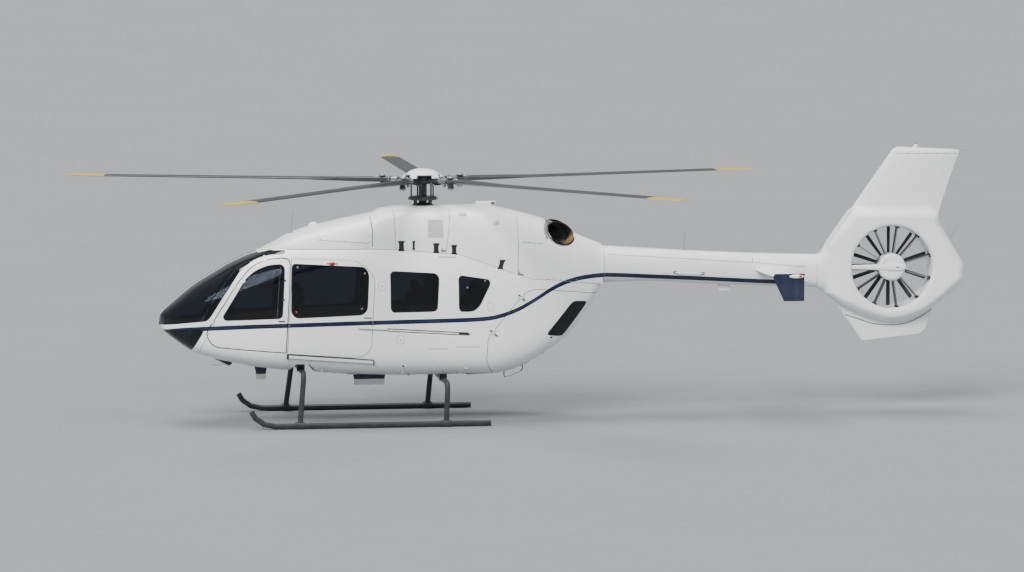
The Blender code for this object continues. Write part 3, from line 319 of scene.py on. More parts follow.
# Materials
class Finish:
    """One procedural material under construction."""

    def __init__(self, name):
        self.material = bpy.data.materials.new(name)
        self.material.use_nodes = True
        self.tree = self.material.node_tree
        self.shader = self.tree.nodes["Principled BSDF"]
        self.place = self.add("ShaderNodeTexCoord").outputs["Object"]

    def add(self, kind, **values):
        """A new node with some of its properties set."""
        node = self.tree.nodes.new(kind)
        for name, value in values.items():
            setattr(node, name, value)
        return node

    def link(self, source, target):
        """Joins two sockets."""
        self.tree.links.new(source, target)

    def put(self, value, socket):
        """Links a socket to the socket given, or sets its value."""
        if isinstance(value, bpy.types.NodeSocket):
            self.link(value, socket)
        else:
            socket.default_value = value

    def math(self, operation, *values):
        """Result of a sum."""
        node = self.add("ShaderNodeMath", operation=operation)
        for value, socket in zip(values, node.inputs):
            self.put(value, socket)
        return node.outputs[0]

    def noise(self, scale, detail=4.0, rough=0.55, stretch=None):
        """Noise in the piece's own coordinates."""
        node = self.add("ShaderNodeTexNoise")
        node.inputs["Scale"].default_value = scale
        node.inputs["Detail"].default_value = detail
        node.inputs["Roughness"].default_value = rough
        source = self.place
        if stretch:
            mapping = self.add("ShaderNodeMapping")
            mapping.inputs["Scale"].default_value = stretch
            self.link(source, mapping.inputs["Vector"])
            source = mapping.outputs["Vector"]
        self.link(source, node.inputs["Vector"])
        return node.outputs["Fac"]

    def ramp(self, value, low, high, to_low=0.0, to_high=1.0):
        """Value carried from one range to another and kept inside it."""
        node = self.add("ShaderNodeMapRange", clamp=True)
        self.put(value, node.inputs["Value"])
        for name, number in (("From Min", low), ("From Max", high), ("To Min", to_low),
                             ("To Max", to_high)):
            node.inputs[name].default_value = number
        return node.outputs["Result"]

    def mix(self, share, one, two):
        """Colour between two colours."""
        node = self.add("ShaderNodeMix", data_type="RGBA")
        self.put(share, node.inputs["Factor"])
        self.put(one if isinstance(one, bpy.types.NodeSocket) else (*one, 1.0), node.inputs[6])
        self.put(two if isinstance(two, bpy.types.NodeSocket) else (*two, 1.0), node.inputs[7])
        return node.outputs[2]

    def reach(self, one, two):
        """Distance from an axis, from the two places across it."""
        squares = (self.math("MULTIPLY", one, one), self.math("MULTIPLY", two, two))
        return self.math("SQRT", self.math("ADD", *squares))

    def rough(self, scale, low, high):
        """Roughness that varies between two values."""
        return self.ramp(self.noise(scale, 4.0, 0.6), 0.3, 0.8, low, high)

    def axes(self):
        """The piece's own X, Y and Z."""
        node = self.add("ShaderNodeSeparateXYZ")
        self.link(self.place, node.inputs["Vector"])
        return node.outputs["X"], node.outputs["Y"], node.outputs["Z"]

    def bump(self, height, strength, distance):
        """Adds a relief to those already there."""
        node = self.add("ShaderNodeBump")
        node.inputs["Strength"].default_value = strength
        node.inputs["Distance"].default_value = distance
        self.link(height, node.inputs["Height"])
        last = self.shader.inputs["Normal"]
        if last.is_linked:
            self.link(last.links[0].from_socket, node.inputs["Normal"])
        self.link(node.outputs["Normal"], last)

    def done(self, colour, rough, **fixed):
        """The material, with its colour, roughness and fixed values."""
        self.put(colour if isinstance(colour, bpy.types.NodeSocket) else (*colour, 1.0),
                 self.shader.inputs["Base Color"])
        self.put(rough, self.shader.inputs["Roughness"])
        for name, value in fixed.items():
            self.shader.inputs[name.replace("_", " ")].default_value = value
        return self.material


def shades(finish, colour, amount, scale):
    """Colour that drifts a little lighter and darker."""
    dark = tuple(c * (1.0 - amount) for c in colour)
    light = tuple(min(1.0, c * (1.0 + amount)) for c in colour)
    drift = finish.ramp(finish.noise(scale, 5.0, 0.6), 0.3, 0.7)
    return finish.mix(drift, dark, light)


WHITE = (0.80, 0.81, 0.82)
NAVY = (0.0030, 0.0075, 0.034)
LACQUER = dict(Coat_Weight=0.22, Coat_Roughness=0.08)
LAMP = dict(scale=40.0, grain=300.0, bump=0.05, Coat_Weight=0.6, Coat_Roughness=0.05)


def paint_over(finish, colour, grime=0.06):
    """Aircraft paint on a colour: faint rain marks, mottled darkening towards the bottom and
    orange peel.
    """
    z = finish.axes()[2]
    marks = finish.ramp(finish.noise(9.0, 6.0, 0.65, (1.0, 1.0, 0.12)), 0.52, 0.80, 0.0, grime)
    colour = finish.mix(marks, colour, (0.30, 0.29, 0.26))
    patches = finish.ramp(finish.noise(2.2, 4.0, 0.6), 0.45, 0.85, 0.0, grime)
    colour = finish.mix(patches, colour, (0.42, 0.42, 0.40))
    # Mottled darkening towards the bottom, up to 16 percent below a height of 0.45 m
    low = finish.math("MULTIPLY", finish.ramp(z, 0.45, -0.1, 0.0, 0.16),
                      finish.ramp(finish.noise(16.0, 6.0, 0.7), 0.35, 0.75))
    colour = finish.mix(low, colour, (0.22, 0.20, 0.17))
    rough = finish.rough(30.0, 0.20, 0.33)
    finish.bump(finish.noise(160.0, 2.0, 0.5), 0.04, 0.002)
    finish.bump(finish.noise(5.0, 3.0, 0.5), 0.05, 0.01)
    return colour, rough


def stripe_curve(finish):
    """Height of the stripe's middle at each place along the body."""
    x = finish.axes()[0]
    x0, x1 = STRIPE[0][0], STRIPE[-1][0]
    low, high = 0.6, 1.5
    node = finish.add("ShaderNodeFloatCurve")
    curve = node.mapping.curves[0]
    places = [((a - x0) / (x1 - x0), (b - low) / (high - low)) for a, b in STRIPE]
    curve.points[0].location = places[0]
    curve.points[1].location = places[-1]
    for place in places[1:-1]:
        curve.points.new(*place)
    node.mapping.update()
    finish.link(finish.ramp(x, x0, x1), node.inputs["Value"])
    return finish.ramp(node.outputs["Value"], 0.0, 1.0, low, high)


def white_paint(name, stripe):
    """White aircraft paint, with or without the dark stripe."""
    finish = Finish(name)
    colour = shades(finish, WHITE, 0.025, 1.4)
    if stripe:
        x, _, z = finish.axes()
        off = finish.math("ABSOLUTE", finish.math("SUBTRACT", z, stripe_curve(finish)))
        front = finish.ramp(x, -3.90, -3.86, 0.0, STRIPE_HALF)
        rear = finish.ramp(x, 5.76, 5.25, 0.0, STRIPE_HALF)
        half = finish.math("MINIMUM", front, rear)
        inside = finish.math("SUBTRACT", half, off)
        mask = finish.ramp(inside, 0.0, 0.0015)
        navy = shades(finish, NAVY, 0.15, 6.0)
        colour = finish.mix(mask, colour, navy)
    colour, rough = paint_over(finish, colour)
    return finish.done(colour, rough, **LACQUER, Specular_IOR_Level=0.35)


def navy_paint():
    """Dark blue aircraft paint."""
    finish = Finish("navy_paint")
    colour, rough = paint_over(finish, shades(finish, NAVY, 0.2, 5.0), 0.03)
    return finish.done(colour, rough, **LACQUER, Specular_IOR_Level=0.35)


def plain(name, colour, rough, metal=0.0, vary=0.15, scale=12.0, grain=90.0, bump=0.10,
          wear=None, **fixed):
    """Drifting colour, uneven roughness, a fine grain, and rubbed spots if wear is given."""
    finish = Finish(name)
    shade = shades(finish, colour, vary, scale)
    if wear:
        worn, share = wear
        spots = finish.ramp(finish.noise(scale * 3.0, 8.0, 0.72), 0.62, 0.74, 0.0, share)
        shade = finish.mix(spots, shade, worn)
    uneven = finish.ramp(finish.noise(scale * 2.0, 5.0, 0.6), 0.3, 0.75,
                         max(0.02, rough - 0.10), min(1.0, rough + 0.10))
    finish.bump(finish.noise(grain, 3.0, 0.6), bump, 0.001)
    return finish.done(shade, uneven, Metallic=metal, **fixed)


def window_glass():
    """Dark tinted glass with faint smears and dust."""
    finish = Finish("window_glass")
    smear = finish.ramp(finish.noise(5.0, 6.0, 0.62, (1.0, 1.0, 0.5)), 0.42, 0.80)
    dust = finish.ramp(finish.noise(60.0, 6.0, 0.7), 0.55, 0.85)
    both = finish.math("MULTIPLY", smear, dust)
    uneven = finish.ramp(both, 0.0, 1.0, 0.015, 0.115)
    colour = finish.mix(finish.ramp(both, 0.0, 1.0, 0.0, 0.25), (0.105, 0.125, 0.165),
                        (0.30, 0.31, 0.32))
    return finish.done(colour, uneven, Transmission_Weight=1.0, IOR=1.45)


def blade_finish():
    """Dark composite with painted tips and faint dust."""
    finish = Finish("blade_composite")
    colour = shades(finish, (0.030, 0.031, 0.034), 0.25, 7.0)
    x, y, _ = finish.axes()
    reach = finish.reach(x, y)
    tip = finish.ramp(reach, ROTOR_RADIUS - 0.62, ROTOR_RADIUS - 0.615)
    fade = finish.ramp(finish.noise(14.0, 6.0, 0.7), 0.50, 0.72, 0.0, 0.35)
    gold = finish.mix(fade, (0.46, 0.33, 0.055), (0.24, 0.17, 0.05))
    colour = finish.mix(tip, colour, gold)
    dust = finish.ramp(finish.noise(22.0, 6.0, 0.7), 0.52, 0.85, 0.0, 0.20)
    colour = finish.mix(dust, colour, (0.16, 0.15, 0.14))
    rough = finish.rough(26.0, 0.38, 0.58)
    finish.bump(finish.noise(260.0, 2.0, 0.5), 0.10, 0.0008)
    return finish.done(colour, rough)


def exhaust_finish():
    """Heat-stained metal: pale at the front of the mouth, bronze low at the back, soot inside."""
    finish = Finish("exhaust_metal")
    x, y, z = finish.axes()
    stain = finish.ramp(finish.noise(7.0, 6.0, 0.65), 0.30, 0.70)
    bronze = finish.mix(stain, (0.20, 0.115, 0.045), (0.34, 0.22, 0.10))
    soot = shades(finish, (0.012, 0.011, 0.011), 0.4, 9.0)
    back = finish.ramp(finish.math("ADD", x, finish.math("MULTIPLY", z, -0.6)), 0.83, 0.93)
    mouth = finish.ramp(finish.math("ABSOLUTE", y), 0.26, 0.33)
    colour = finish.mix(finish.math("MULTIPLY", back, mouth), soot, bronze)
    pale = shades(finish, (0.50, 0.48, 0.40), 0.15, 20.0)
    front = finish.math("MULTIPLY", finish.ramp(x, 1.845, 1.825),
                        finish.ramp(finish.math("ABSOLUTE", y), 0.30, 0.33))
    colour = finish.mix(front, colour, pale)
    rough = finish.ramp(finish.noise(18.0, 5.0, 0.6), 0.3, 0.7, 0.45, 0.70)
    finish.bump(finish.noise(70.0, 3.0, 0.6), 0.08, 0.001)
    return finish.done(colour, rough, Metallic=0.6)


def stator_finish():
    """Light hub, dark vanes with a painted glint along their left edges."""
    finish = Finish("duct_stator")
    x, y, z = finish.axes()
    reach = finish.reach(finish.math("SUBTRACT", x, DUCT_X), finish.math("SUBTRACT", z, DUCT_Z))
    white = shades(finish, WHITE, 0.03, 6.0)
    dark = shades(finish, (0.020, 0.022, 0.028), 0.3, 14.0)
    # Painted glint: the vanes' edges on the left side are made lighter, as if catching the light
    edge = finish.ramp(y, -0.196, -0.190, 0.5, 0.0)
    dark = finish.mix(edge, dark, (0.35, 0.36, 0.38))
    colour = finish.mix(finish.ramp(reach, 0.201, 0.203), white, dark)
    rough = finish.rough(26.0, 0.28, 0.45)
    finish.bump(finish.noise(160.0, 2.0, 0.5), 0.05, 0.001)
    return finish.done(colour, rough)


def cap_finish():
    """White dome and feet, with painted shade darkening the dome's lower band."""
    finish = Finish("rotor_cap_paint")
    x, y, z = finish.axes()
    reach = finish.reach(x, y)
    # Painted shade: the dome's lower band under its bulge is dark
    painted_shade_rim = finish.math("MULTIPLY", finish.ramp(z, ROTOR_Z + 0.079, ROTOR_Z + 0.077),
                      finish.ramp(reach, 0.2535, 0.2525))
    colour = finish.mix(painted_shade_rim, shades(finish, WHITE, 0.03, 6.0),
                        shades(finish, (0.022, 0.023, 0.026), 0.3, 14.0))
    colour, rough = paint_over(finish, colour)
    return finish.done(colour, rough, **LACQUER)


def tailplane_finish():
    """White halves with dark blue end plates."""
    finish = Finish("tailplane_paint")
    y = finish.axes()[1]
    out = finish.ramp(finish.math("ABSOLUTE", y), 1.278, 1.281)
    colour = finish.mix(out, shades(finish, WHITE, 0.03, 3.0), shades(finish, NAVY, 0.2, 8.0))
    colour, rough = paint_over(finish, colour)
    return finish.done(colour, rough, Coat_Weight=0.35, Coat_Roughness=0.08)


def cloth_finish(colour, alt):
    """Woven upholstery."""
    finish = Finish("seat_cloth")
    threads = []
    for way, scale in (("Y", 120.0), ("DIAGONAL", 110.0)):
        wave = finish.add("ShaderNodeTexWave", wave_type="BANDS", bands_direction=way)
        wave.inputs["Scale"].default_value = scale
        wave.inputs["Distortion"].default_value = 1.5
        finish.link(finish.place, wave.inputs["Vector"])
        threads.append(wave.outputs["Fac"])
    thread = finish.math("MULTIPLY", *threads)
    shade = finish.mix(thread, colour, alt)
    worn = finish.ramp(finish.noise(6.0, 5.0, 0.6), 0.45, 0.75, 0.0, 0.30)
    shade = finish.mix(worn, shade, tuple(min(1.0, c * 1.8) for c in colour))
    rough = finish.ramp(finish.noise(20.0), 0.3, 0.7, 0.80, 0.95)
    finish.bump(thread, 0.35, 0.0012)
    finish.bump(finish.noise(12.0, 5.0, 0.6), 0.20, 0.004)
    return finish.done(shade, rough, Sheen_Weight=0.25, Sheen_Roughness=0.5)


FINISHES = dict(
    paint=white_paint("white_paint_striped", True),
    white=white_paint("white_paint", False),
    navy=navy_paint(),
    glass=window_glass(),
    trim=plain("cabin_trim", (0.20, 0.205, 0.215), 0.75, vary=0.12, scale=5.0, grain=220.0,
               bump=0.25),
    seal=plain("rubber_seal", (0.020, 0.020, 0.021), 0.65, vary=0.25, scale=20.0, grain=150.0),
    seam=plain("panel_gap", (0.13, 0.135, 0.145), 0.70, vary=0.25, scale=20.0, grain=150.0),
    dark=plain("dark_paint", (0.028, 0.029, 0.032), 0.42, vary=0.30, scale=8.0, grain=120.0,
               wear=((0.20, 0.20, 0.20), 0.35)),
    black=plain("black_plastic", (0.018, 0.018, 0.020), 0.50, vary=0.25, scale=15.0,
                grain=300.0, bump=0.2),
    steel=plain("machined_steel", (0.46, 0.465, 0.48), 0.32, 0.95, vary=0.15, scale=20.0,
                grain=200.0, wear=((0.16, 0.15, 0.14), 0.4)),
    grey=plain("grey_casting", (0.23, 0.235, 0.245), 0.50, 0.35, vary=0.2, scale=10.0,
               grain=80.0, bump=0.3, wear=((0.06, 0.055, 0.05), 0.5)),
    red=plain("red_paint", (0.42, 0.020, 0.022), 0.35, vary=0.15, scale=30.0, grain=200.0),
    lamp_red=plain("red_lamp", (0.55, 0.012, 0.015), 0.12, vary=0.08, **LAMP),
    lamp_green=plain("green_lamp", (0.010, 0.30, 0.07), 0.12, vary=0.08, **LAMP),
    lamp_white=plain("clear_lamp", (0.62, 0.64, 0.66), 0.10, vary=0.05, **LAMP),
    blade=blade_finish(),
    bronze=exhaust_finish(),
    stator=stator_finish(),
    tailplane=tailplane_finish(),
    cap=cap_finish(),
    head=plain("rotor_head_metal", (0.30, 0.31, 0.33), 0.38, 0.75, vary=0.2, scale=14.0,
               grain=160.0, bump=0.2, wear=((0.09, 0.085, 0.08), 0.6)),
    seat=cloth_finish((0.035, 0.040, 0.055), (0.075, 0.082, 0.100)),
    piping=plain("seat_piping", (0.10, 0.105, 0.12), 0.6, vary=0.2, scale=60.0, grain=300.0),
    lip=plain("exhaust_lip", (0.52, 0.51, 0.47), 0.34, 0.75, vary=0.2, scale=16.0, grain=90.0,
              bump=0.1, wear=((0.20, 0.15, 0.10), 0.5)),
    mesh=plain("grille_mesh", (0.68, 0.69, 0.70), 0.45, 0.2, vary=0.25, scale=60.0,
               grain=260.0, bump=0.4),
    screen=plain("display_glass", (0.010, 0.013, 0.018), 0.12, vary=0.3, scale=25.0,
                 grain=300.0, bump=0.02, Coat_Weight=0.5, Coat_Roughness=0.03),
)


# Pieces
def linked(name, data):
    """A new object of the scene."""
    item = bpy.data.objects.new(name, data)
    bpy.context.scene.collection.objects.link(item)
    return item


def piece(name, bm, keys, body, smooth=None):
    """A visible piece that rides on a body, with a finish for each of its slots."""
    mesh = bpy.data.meshes.new(name)
    bm.to_mesh(mesh)
    bm.free()
    made = linked(name, mesh)
    for key in keys:
        mesh.materials.append(FINISHES[key])
    if smooth is not None:
        mesh.shade_smooth()
        mesh.set_sharp_from_angle(angle=math.radians(smooth))
    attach(made, body)
    return made


def dress(node, key):
    """Gives a node that stays its finished material."""
    item = NODES[node]
    if not item.data.materials:
        item.data.materials.append(FINISHES[key])
    for slot in item.material_slots:
        slot.link = "OBJECT"
        slot.material = FINISHES[key]


def slice_up(bm, axis, start, end, step):
    """Cuts the faces marked as skin along planes."""
    normal = Vector((0, 0, 0))
    normal[axis] = 1.0
    mark = bm.faces.layers.int["skin"]
    place = start
    while place < end:
        chosen = [f for f in bm.faces if f[mark]
                  and min(v.co[axis] for v in f.verts) < place - 1e-5
                  and max(v.co[axis] for v in f.verts) > place + 1e-5]
        if chosen:
            geometry = list({e for f in chosen for e in f.edges})
            geometry += list({v for f in chosen for v in f.verts}) + chosen
            centre = Vector((0, 0, 0))
            centre[axis] = place
            bmesh.ops.bisect_plane(bm, geom=geometry, dist=1e-5, plane_co=centre,
                                   plane_no=normal)
        place += step


# How near and how nearly parallel to a skin an outer face lies, the cells it is cut into, the
# farthest that a point moves, the depth and mark of faces on the inner side, and the angle from
# which edges off the skin are sharp
SKIN_REACH = 0.02
SKIN_AGREEMENT = 0.75
SKIN_CELLS = (0.11, 0.13, 0.11)
SKIN_MOVE = 0.03
INNER_DEPTH = 0.03
INNER = 3
SHARP_ANGLE = math.radians(32)


def mark_skin(bm, skins, depths):
    """Marks the faces that lie on a skin, with the skin's number and the depth's."""
    mark = bm.faces.layers.int.new("skin")
    kind = bm.faces.layers.int.new("kind")
    deep = bm.faces.layers.int.new("deep")
    for face in bm.faces:
        centre = face.calc_center_median()
        best = None
        for number, skin in enumerate(skins):
            lean = slope(skin, centre)
            size = max(lean.length, 1e-6)
            away = skin(centre) / size
            agree = face.normal.dot(lean / size)
            for layer, depth in enumerate(depths):
                facing = agree if layer == 0 else -agree
                miss = abs(away + depth)
                if miss < SKIN_REACH and facing > SKIN_AGREEMENT:
                    if best is None or miss < best[0]:
                        best = (miss, number, layer)
        if best:
            face[mark] = 1
            face[kind] = best[1]
            face[deep] = best[2]
        elif skins[0](centre) < -INNER_DEPTH:
            face[deep] = INNER
    return mark, kind, deep


def move_to_skin(bm, skins, depths, layers):
    """Moves each point whose marked faces agree exactly onto their skin."""
    mark, kind, deep = layers
    moved = {}
    for vert in bm.verts:
        own = [f for f in vert.link_faces if f[mark]]
        if len({(f[kind], f[deep]) for f in own}) == 1:
            goal = onto(skins[own[0][kind]], vert.co, depths[own[0][deep]], 3)[0]
            if (goal - vert.co).length < SKIN_MOVE:
                moved[vert] = goal
    for vert, goal in moved.items():
        vert.co = goal


def shade_skin(bm, skins, layers):
    """Sets slots and sharp edges, and gives the exact normal of every corner on a skin."""
    mark, kind, deep = layers
    normals = []
    for face in bm.faces:
        face.smooth = True
        for loop in face.loops:
            if face[mark]:
                lean = slope(skins[face[kind]], loop.vert.co).normalized()
                normals.append(lean if face[deep] == 0 else -lean)
            else:
                normals.append(Vector((0, 0, 0)))
        if face[mark] and face[deep] == 0:
            face.material_index = 0
        elif face[mark] or face[deep] == INNER:
            face.material_index = 1
        else:
            face.material_index = 2
    for edge in bm.edges:
        edge.smooth = True
        if len(edge.link_faces) == 2:
            one, two = edge.link_faces
            if one[mark] != two[mark] or one[kind] != two[kind]:
                edge.smooth = False
            elif not one[mark] and one.normal.angle(two.normal, 0.0) > SHARP_ANGLE:
                edge.smooth = False
    return normals


def skinned(node, body, skins, keys, depths=(0.0,)):
    """Finer copy of a node whose outer faces follow the smooth skin exactly.

    keys: finishes of the outer faces, the faces on the inner side and those in between.
    depths: how deep below the skin the outer faces lie, and the inner ones of a pane.
    """
    bm = bmesh.new()
    bm.from_mesh(NODES[node].data)
    bm.transform(NODES[node].matrix_world)
    bmesh.ops.remove_doubles(bm, verts=bm.verts, dist=1e-5)
    layers = mark_skin(bm, skins, depths)
    for axis, step in enumerate(SKIN_CELLS):
        places = [v.co[axis] for v in bm.verts]
        first = math.floor(min(places) / step) * step + step * 0.5
        slice_up(bm, axis, first, max(places), step)
    move_to_skin(bm, skins, depths, layers)
    bmesh.ops.triangulate(bm, faces=[f for f in bm.faces if len(f.verts) > 4])
    bm.faces.ensure_lookup_table()
    normals = shade_skin(bm, skins, layers)
    made = piece(node + "_skin", bm, keys, body)
    made.data.normals_split_custom_set(normals)
    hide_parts(node)


def add_skins():
    """Finer skins for the cabin, doors, panes, cowling and boom."""
    body_skins = [pod_skin, belly_skin]
    outer = ("paint", "trim", "white")
    skinned("fuselage_shell", "airframe", body_skins, outer)
    for label, _ in SIDES:
        pilot, rear = "pilot_door_" + label, "clamshell_" + label
        for node, body in ((pilot, pilot), ("sliding_door_" + label, "airframe"),
                           ("clamshell_door_" + label, rear)):
            skinned(node, body, body_skins, outer)
        for pane, body in (("windshield_", "airframe"), ("chin_window_", "airframe"),
                           ("pilot_door_window_", pilot), ("sliding_door_window_", "airframe"),
                           ("cabin_window_", "airframe"), ("rear_cabin_window_", "airframe"),
                           ("clamshell_window_", rear)):
            skinned(pane + label, body, [pod_skin], ("glass",) * 3, (GLASS_IN, GLASS_OUT))
    skinned("engine_cowling", "airframe", [cowl_skin], ("paint", "grey", "white"))
    add_boom()


def add_boom():
    """Smooth boom from many rings."""
    rings = []
    x = POD_TAIL_X + 0.0003
    while True:
        half, low, high = row_at("boom", x)
        rings.append([Vector((x, half * c, (low + high) / 2 + (high - low) / 2 * s))
                      for c, s in squarish(64, 0.85, 0.5)])
        if x >= BOOM_END_X:
            break
        x = min(BOOM_END_X, x + 0.09)
    made = piece("tail_boom_skin", lofted(rings), ["paint"], "airframe", 40)
    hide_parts("tail_boom")


# Basic shapes
def spread(low, high, cells):
    """Edges of equal cells between two values."""
    return [low + (high - low) * i / cells for i in range(cells + 1)]


def lofted(rings, closed=True):
    """Shape through rings of points, with its ends closed."""
    bm = bmesh.new()
    loops = [[bm.verts.new(point) for point in ring] for ring in rings]
    count = len(rings[0])
    for one, two in zip(loops, loops[1:]):
        for i in range(count):
            j = (i + 1) % count
            bm.faces.new((one[i], one[j], two[j], two[i]))
    if closed:
        bm.faces.new(list(reversed(loops[0])))
        bm.faces.new(loops[-1])
    bmesh.ops.recalc_face_normals(bm, faces=bm.faces)
    return bm


def turned(bm, matrix):
    """The same shape, moved by a matrix."""
    bmesh.ops.transform(bm, matrix=matrix, verts=bm.verts)
    return bm


def shifted(bm, x, y, z):
    """The same shape, moved along."""
    return turned(bm, Matrix.Translation((x, y, z)))


def add_to(target, source, matrix=None):
    """Adds one mesh to another and frees it."""
    if matrix is not None:
        turned(source, matrix)
    mesh = bpy.data.meshes.new("passing")
    source.to_mesh(mesh)
    source.free()
    target.from_mesh(mesh)
    bpy.data.meshes.remove(mesh)
    return target


def squarish(count, power, start=0.0):
    """Cosines and sines round a ring that bulges towards a square."""
    for i in range(count):
        angle = math.tau * (i + start) / count
        c, s = math.cos(angle), math.sin(angle)
        yield math.copysign(abs(c) ** power, c), math.copysign(abs(s) ** power, s)


def rod(path, radius, sides=10):
    """Round bar along a path; radius is one number, or one for each point."""
    points = [Vector(point) for point in path]
    rings = []
    side = None
    for i, point in enumerate(points):
        ahead = points[min(i + 1, len(points) - 1)] - points[max(i - 1, 0)]
        ahead.normalize()
        if side is None:
            seed = Vector((1, 0, 0)) if abs(ahead.x) < 0.9 else Vector((0, 1, 0))
            side = ahead.cross(seed).normalized()
        side = (side - ahead * side.dot(ahead)).normalized()
        up = ahead.cross(side)
        size = radius[i] if isinstance(radius, tuple) else radius
        rings.append([point + size * (math.cos(math.tau * k / sides) * side
                                      + math.sin(math.tau * k / sides) * up)
                      for k in range(sides)])
    return lofted(rings)


def lathe(profile, sides=24):
    """Round shape about Z from its radii and heights."""
    angles = [math.tau * i / sides for i in range(sides)]
    return lofted([[Vector((radius * math.cos(a), radius * math.sin(a), z)) for a in angles]
                   for radius, z in profile])


def soft_box(size, bevel, segments=3):
    """Box with rounded edges."""
    bm = bmesh.new()
    bmesh.ops.create_cube(bm, size=1.0, matrix=Matrix.Diagonal((*size, 1.0)))
    bmesh.ops.bevel(bm, geom=bm.edges[:] + bm.verts[:], offset=bevel, segments=segments,
                    affect="EDGES", profile=0.5)
    return bm


def aim(point, out, ahead=(1, 0, 0)):
    """Frame at point with Z along out and X as near as possible to ahead."""
    out = Vector(out).normalized()
    ahead = Vector(ahead)
    ahead = (ahead - out * ahead.dot(out)).normalized()
    across = out.cross(ahead)
    matrix = Matrix((ahead, across, out)).transposed().to_4x4()
    matrix.translation = point
    return matrix


def resampled(path, step, closed=False):
    """Path with points no farther apart than a step."""
    points = [Vector(p) for p in path]
    if closed:
        points.append(points[0].copy())
    made = [points[0]]
    for one, two in zip(points, points[1:]):
        pieces = max(1, int(math.ceil((two - one).length / step)))
        for k in range(1, pieces + 1):
            made.append(one.lerp(two, k / pieces))
    if closed:
        made.pop()
    return made


def rounded(path, radius, corners=None, closed=True, steps=4):
    """Path with all its corners, or the numbered ones, rounded."""
    points = [Vector(p) for p in path]
    count = len(points)
    made = []
    for i, here in enumerate(points):
        if (not closed and i in (0, count - 1)) or (corners is not None and i not in corners):
            made.append(here)
            continue
        before = points[i - 1] - here
        after = points[(i + 1) % count] - here
        reach = min(radius, before.length * CORNER_SHARE, after.length * CORNER_SHARE)
        one = here + before.normalized() * reach
        two = here + after.normalized() * reach
        for k in range(steps + 1):
            t = k / steps
            made.append(one * (1 - t) ** 2 + here * 2 * t * (1 - t) + two * t ** 2)
    return made


def strip(points, outs, width, height, sunk=0.002, closed=False):
    """Raised strip through points, flat on a skin whose outward directions are outs."""
    rings = []
    count = len(points)
    for i, (point, out) in enumerate(zip(points, outs)):
        if closed:
            ahead = points[(i + 1) % count] - points[i - 1]
        else:
            ahead = points[min(i + 1, count - 1)] - points[max(i - 1, 0)]
        across = out.cross(ahead).normalized()
        one, two = point - across * width / 2, point + across * width / 2
        rings.append([one - out * sunk, one + out * height, two + out * height, two - out * sunk])
    if closed:
        rings.append(rings[0])
    bm = lofted(rings, closed=not closed)
    if closed:
        bmesh.ops.remove_doubles(bm, verts=bm.verts, dist=1e-6)
    return bm


def side_strip(path, side, width, height, closed=False, step=0.03, corner=0.0, sunk=0.002):
    """Strip along a side-view path (x, z) on one side's skin."""
    flat = [Vector((x, 0.0, z)) for x, z in path]
    if corner > 0:
        flat = rounded(flat, corner, closed=closed)
    flat = resampled(flat, step, closed)
    points, outs = [], []
    for p in flat:
        point, out = side_point(p.x, p.z, side)
        points.append(point)
        outs.append(out)
    return strip(points, outs, width, height, sunk, closed)


def grown(outline, distance):
    """Outline with every side moved outwards."""
    count = len(outline)
    area = sum(outline[i][0] * outline[(i + 1) % count][1]
               - outline[(i + 1) % count][0] * outline[i][1] for i in range(count))
    turn = -1.0 if area > 0 else 1.0
    moved = []
    for i in range(count):
        before = Vector(outline[i - 1])
        here = Vector(outline[i])
        after = Vector(outline[(i + 1) % count])
        into = (here - before).normalized()
        away = (after - here).normalized()
        normal_in = Vector((-into.y, into.x)) * turn
        normal_out = Vector((-away.y, away.x)) * turn
        middle = (normal_in + normal_out).normalized()
        moved.append(tuple(here + middle * distance / max(0.35, middle.dot(normal_in))))
    return moved


PANEL_LINES = [
    ([(-0.017, 0.425), (0.26, 0.42)], 0.007), ([(0.377, 0.448), (0.727, 0.442)], 0.007),
    ([(-0.474, 2.43), (-0.474, 1.852)], 0.006), ([(0.345, 2.43), (0.257, 1.800)], 0.006),
    ([(1.325, 2.33), (1.301, 1.487)], 0.006), ([(1.74, 2.20), (1.74, 1.93)], 0.006),
    ([(1.38, 1.945), (1.706, 1.908)], 0.006), ([(-1.602, 1.996), (-0.862, 1.945)], 0.007),
    ([(2.698, 1.71), (4.98, 1.549), (5.671, 1.481)], 0.007),
    ([(4.873, 1.676), (4.873, 1.557)], 0.007),
    ([(-2.04, 1.866), (-0.49, 1.852), (0.13, 1.799), (0.49, 1.764), (0.82, 1.644),
      (1.29, 1.479), (1.50, 1.406), (1.85, 1.379), (2.10, 1.347), (2.61, 1.279)], 0.006),
    ([(2.645, 1.79), (2.645, 1.31)], 0.006),
    # Wide dark line at the intake step: the joint, with painted shade of the step
    ([(-0.812, 2.335), (-0.806, 2.25), (-0.801, 2.09), (-0.806, 1.895)], 0.014),
    ([(-3.168, 0.715), (-3.214, 0.623), (-3.269, 0.518), (-3.328, 0.368)], 0.006),
]
HATCHES = [
    ([(-0.741, 1.407), (-0.640, 1.407), (-0.640, 1.275), (-0.741, 1.275)], 0.005),
    ([(-0.483, 0.621), (-0.381, 0.621), (-0.381, 0.503), (-0.483, 0.503)], 0.005),
    ([(0.847, 1.079), (0.935, 1.079), (0.935, 0.962), (0.847, 0.962)], 0.005),
]


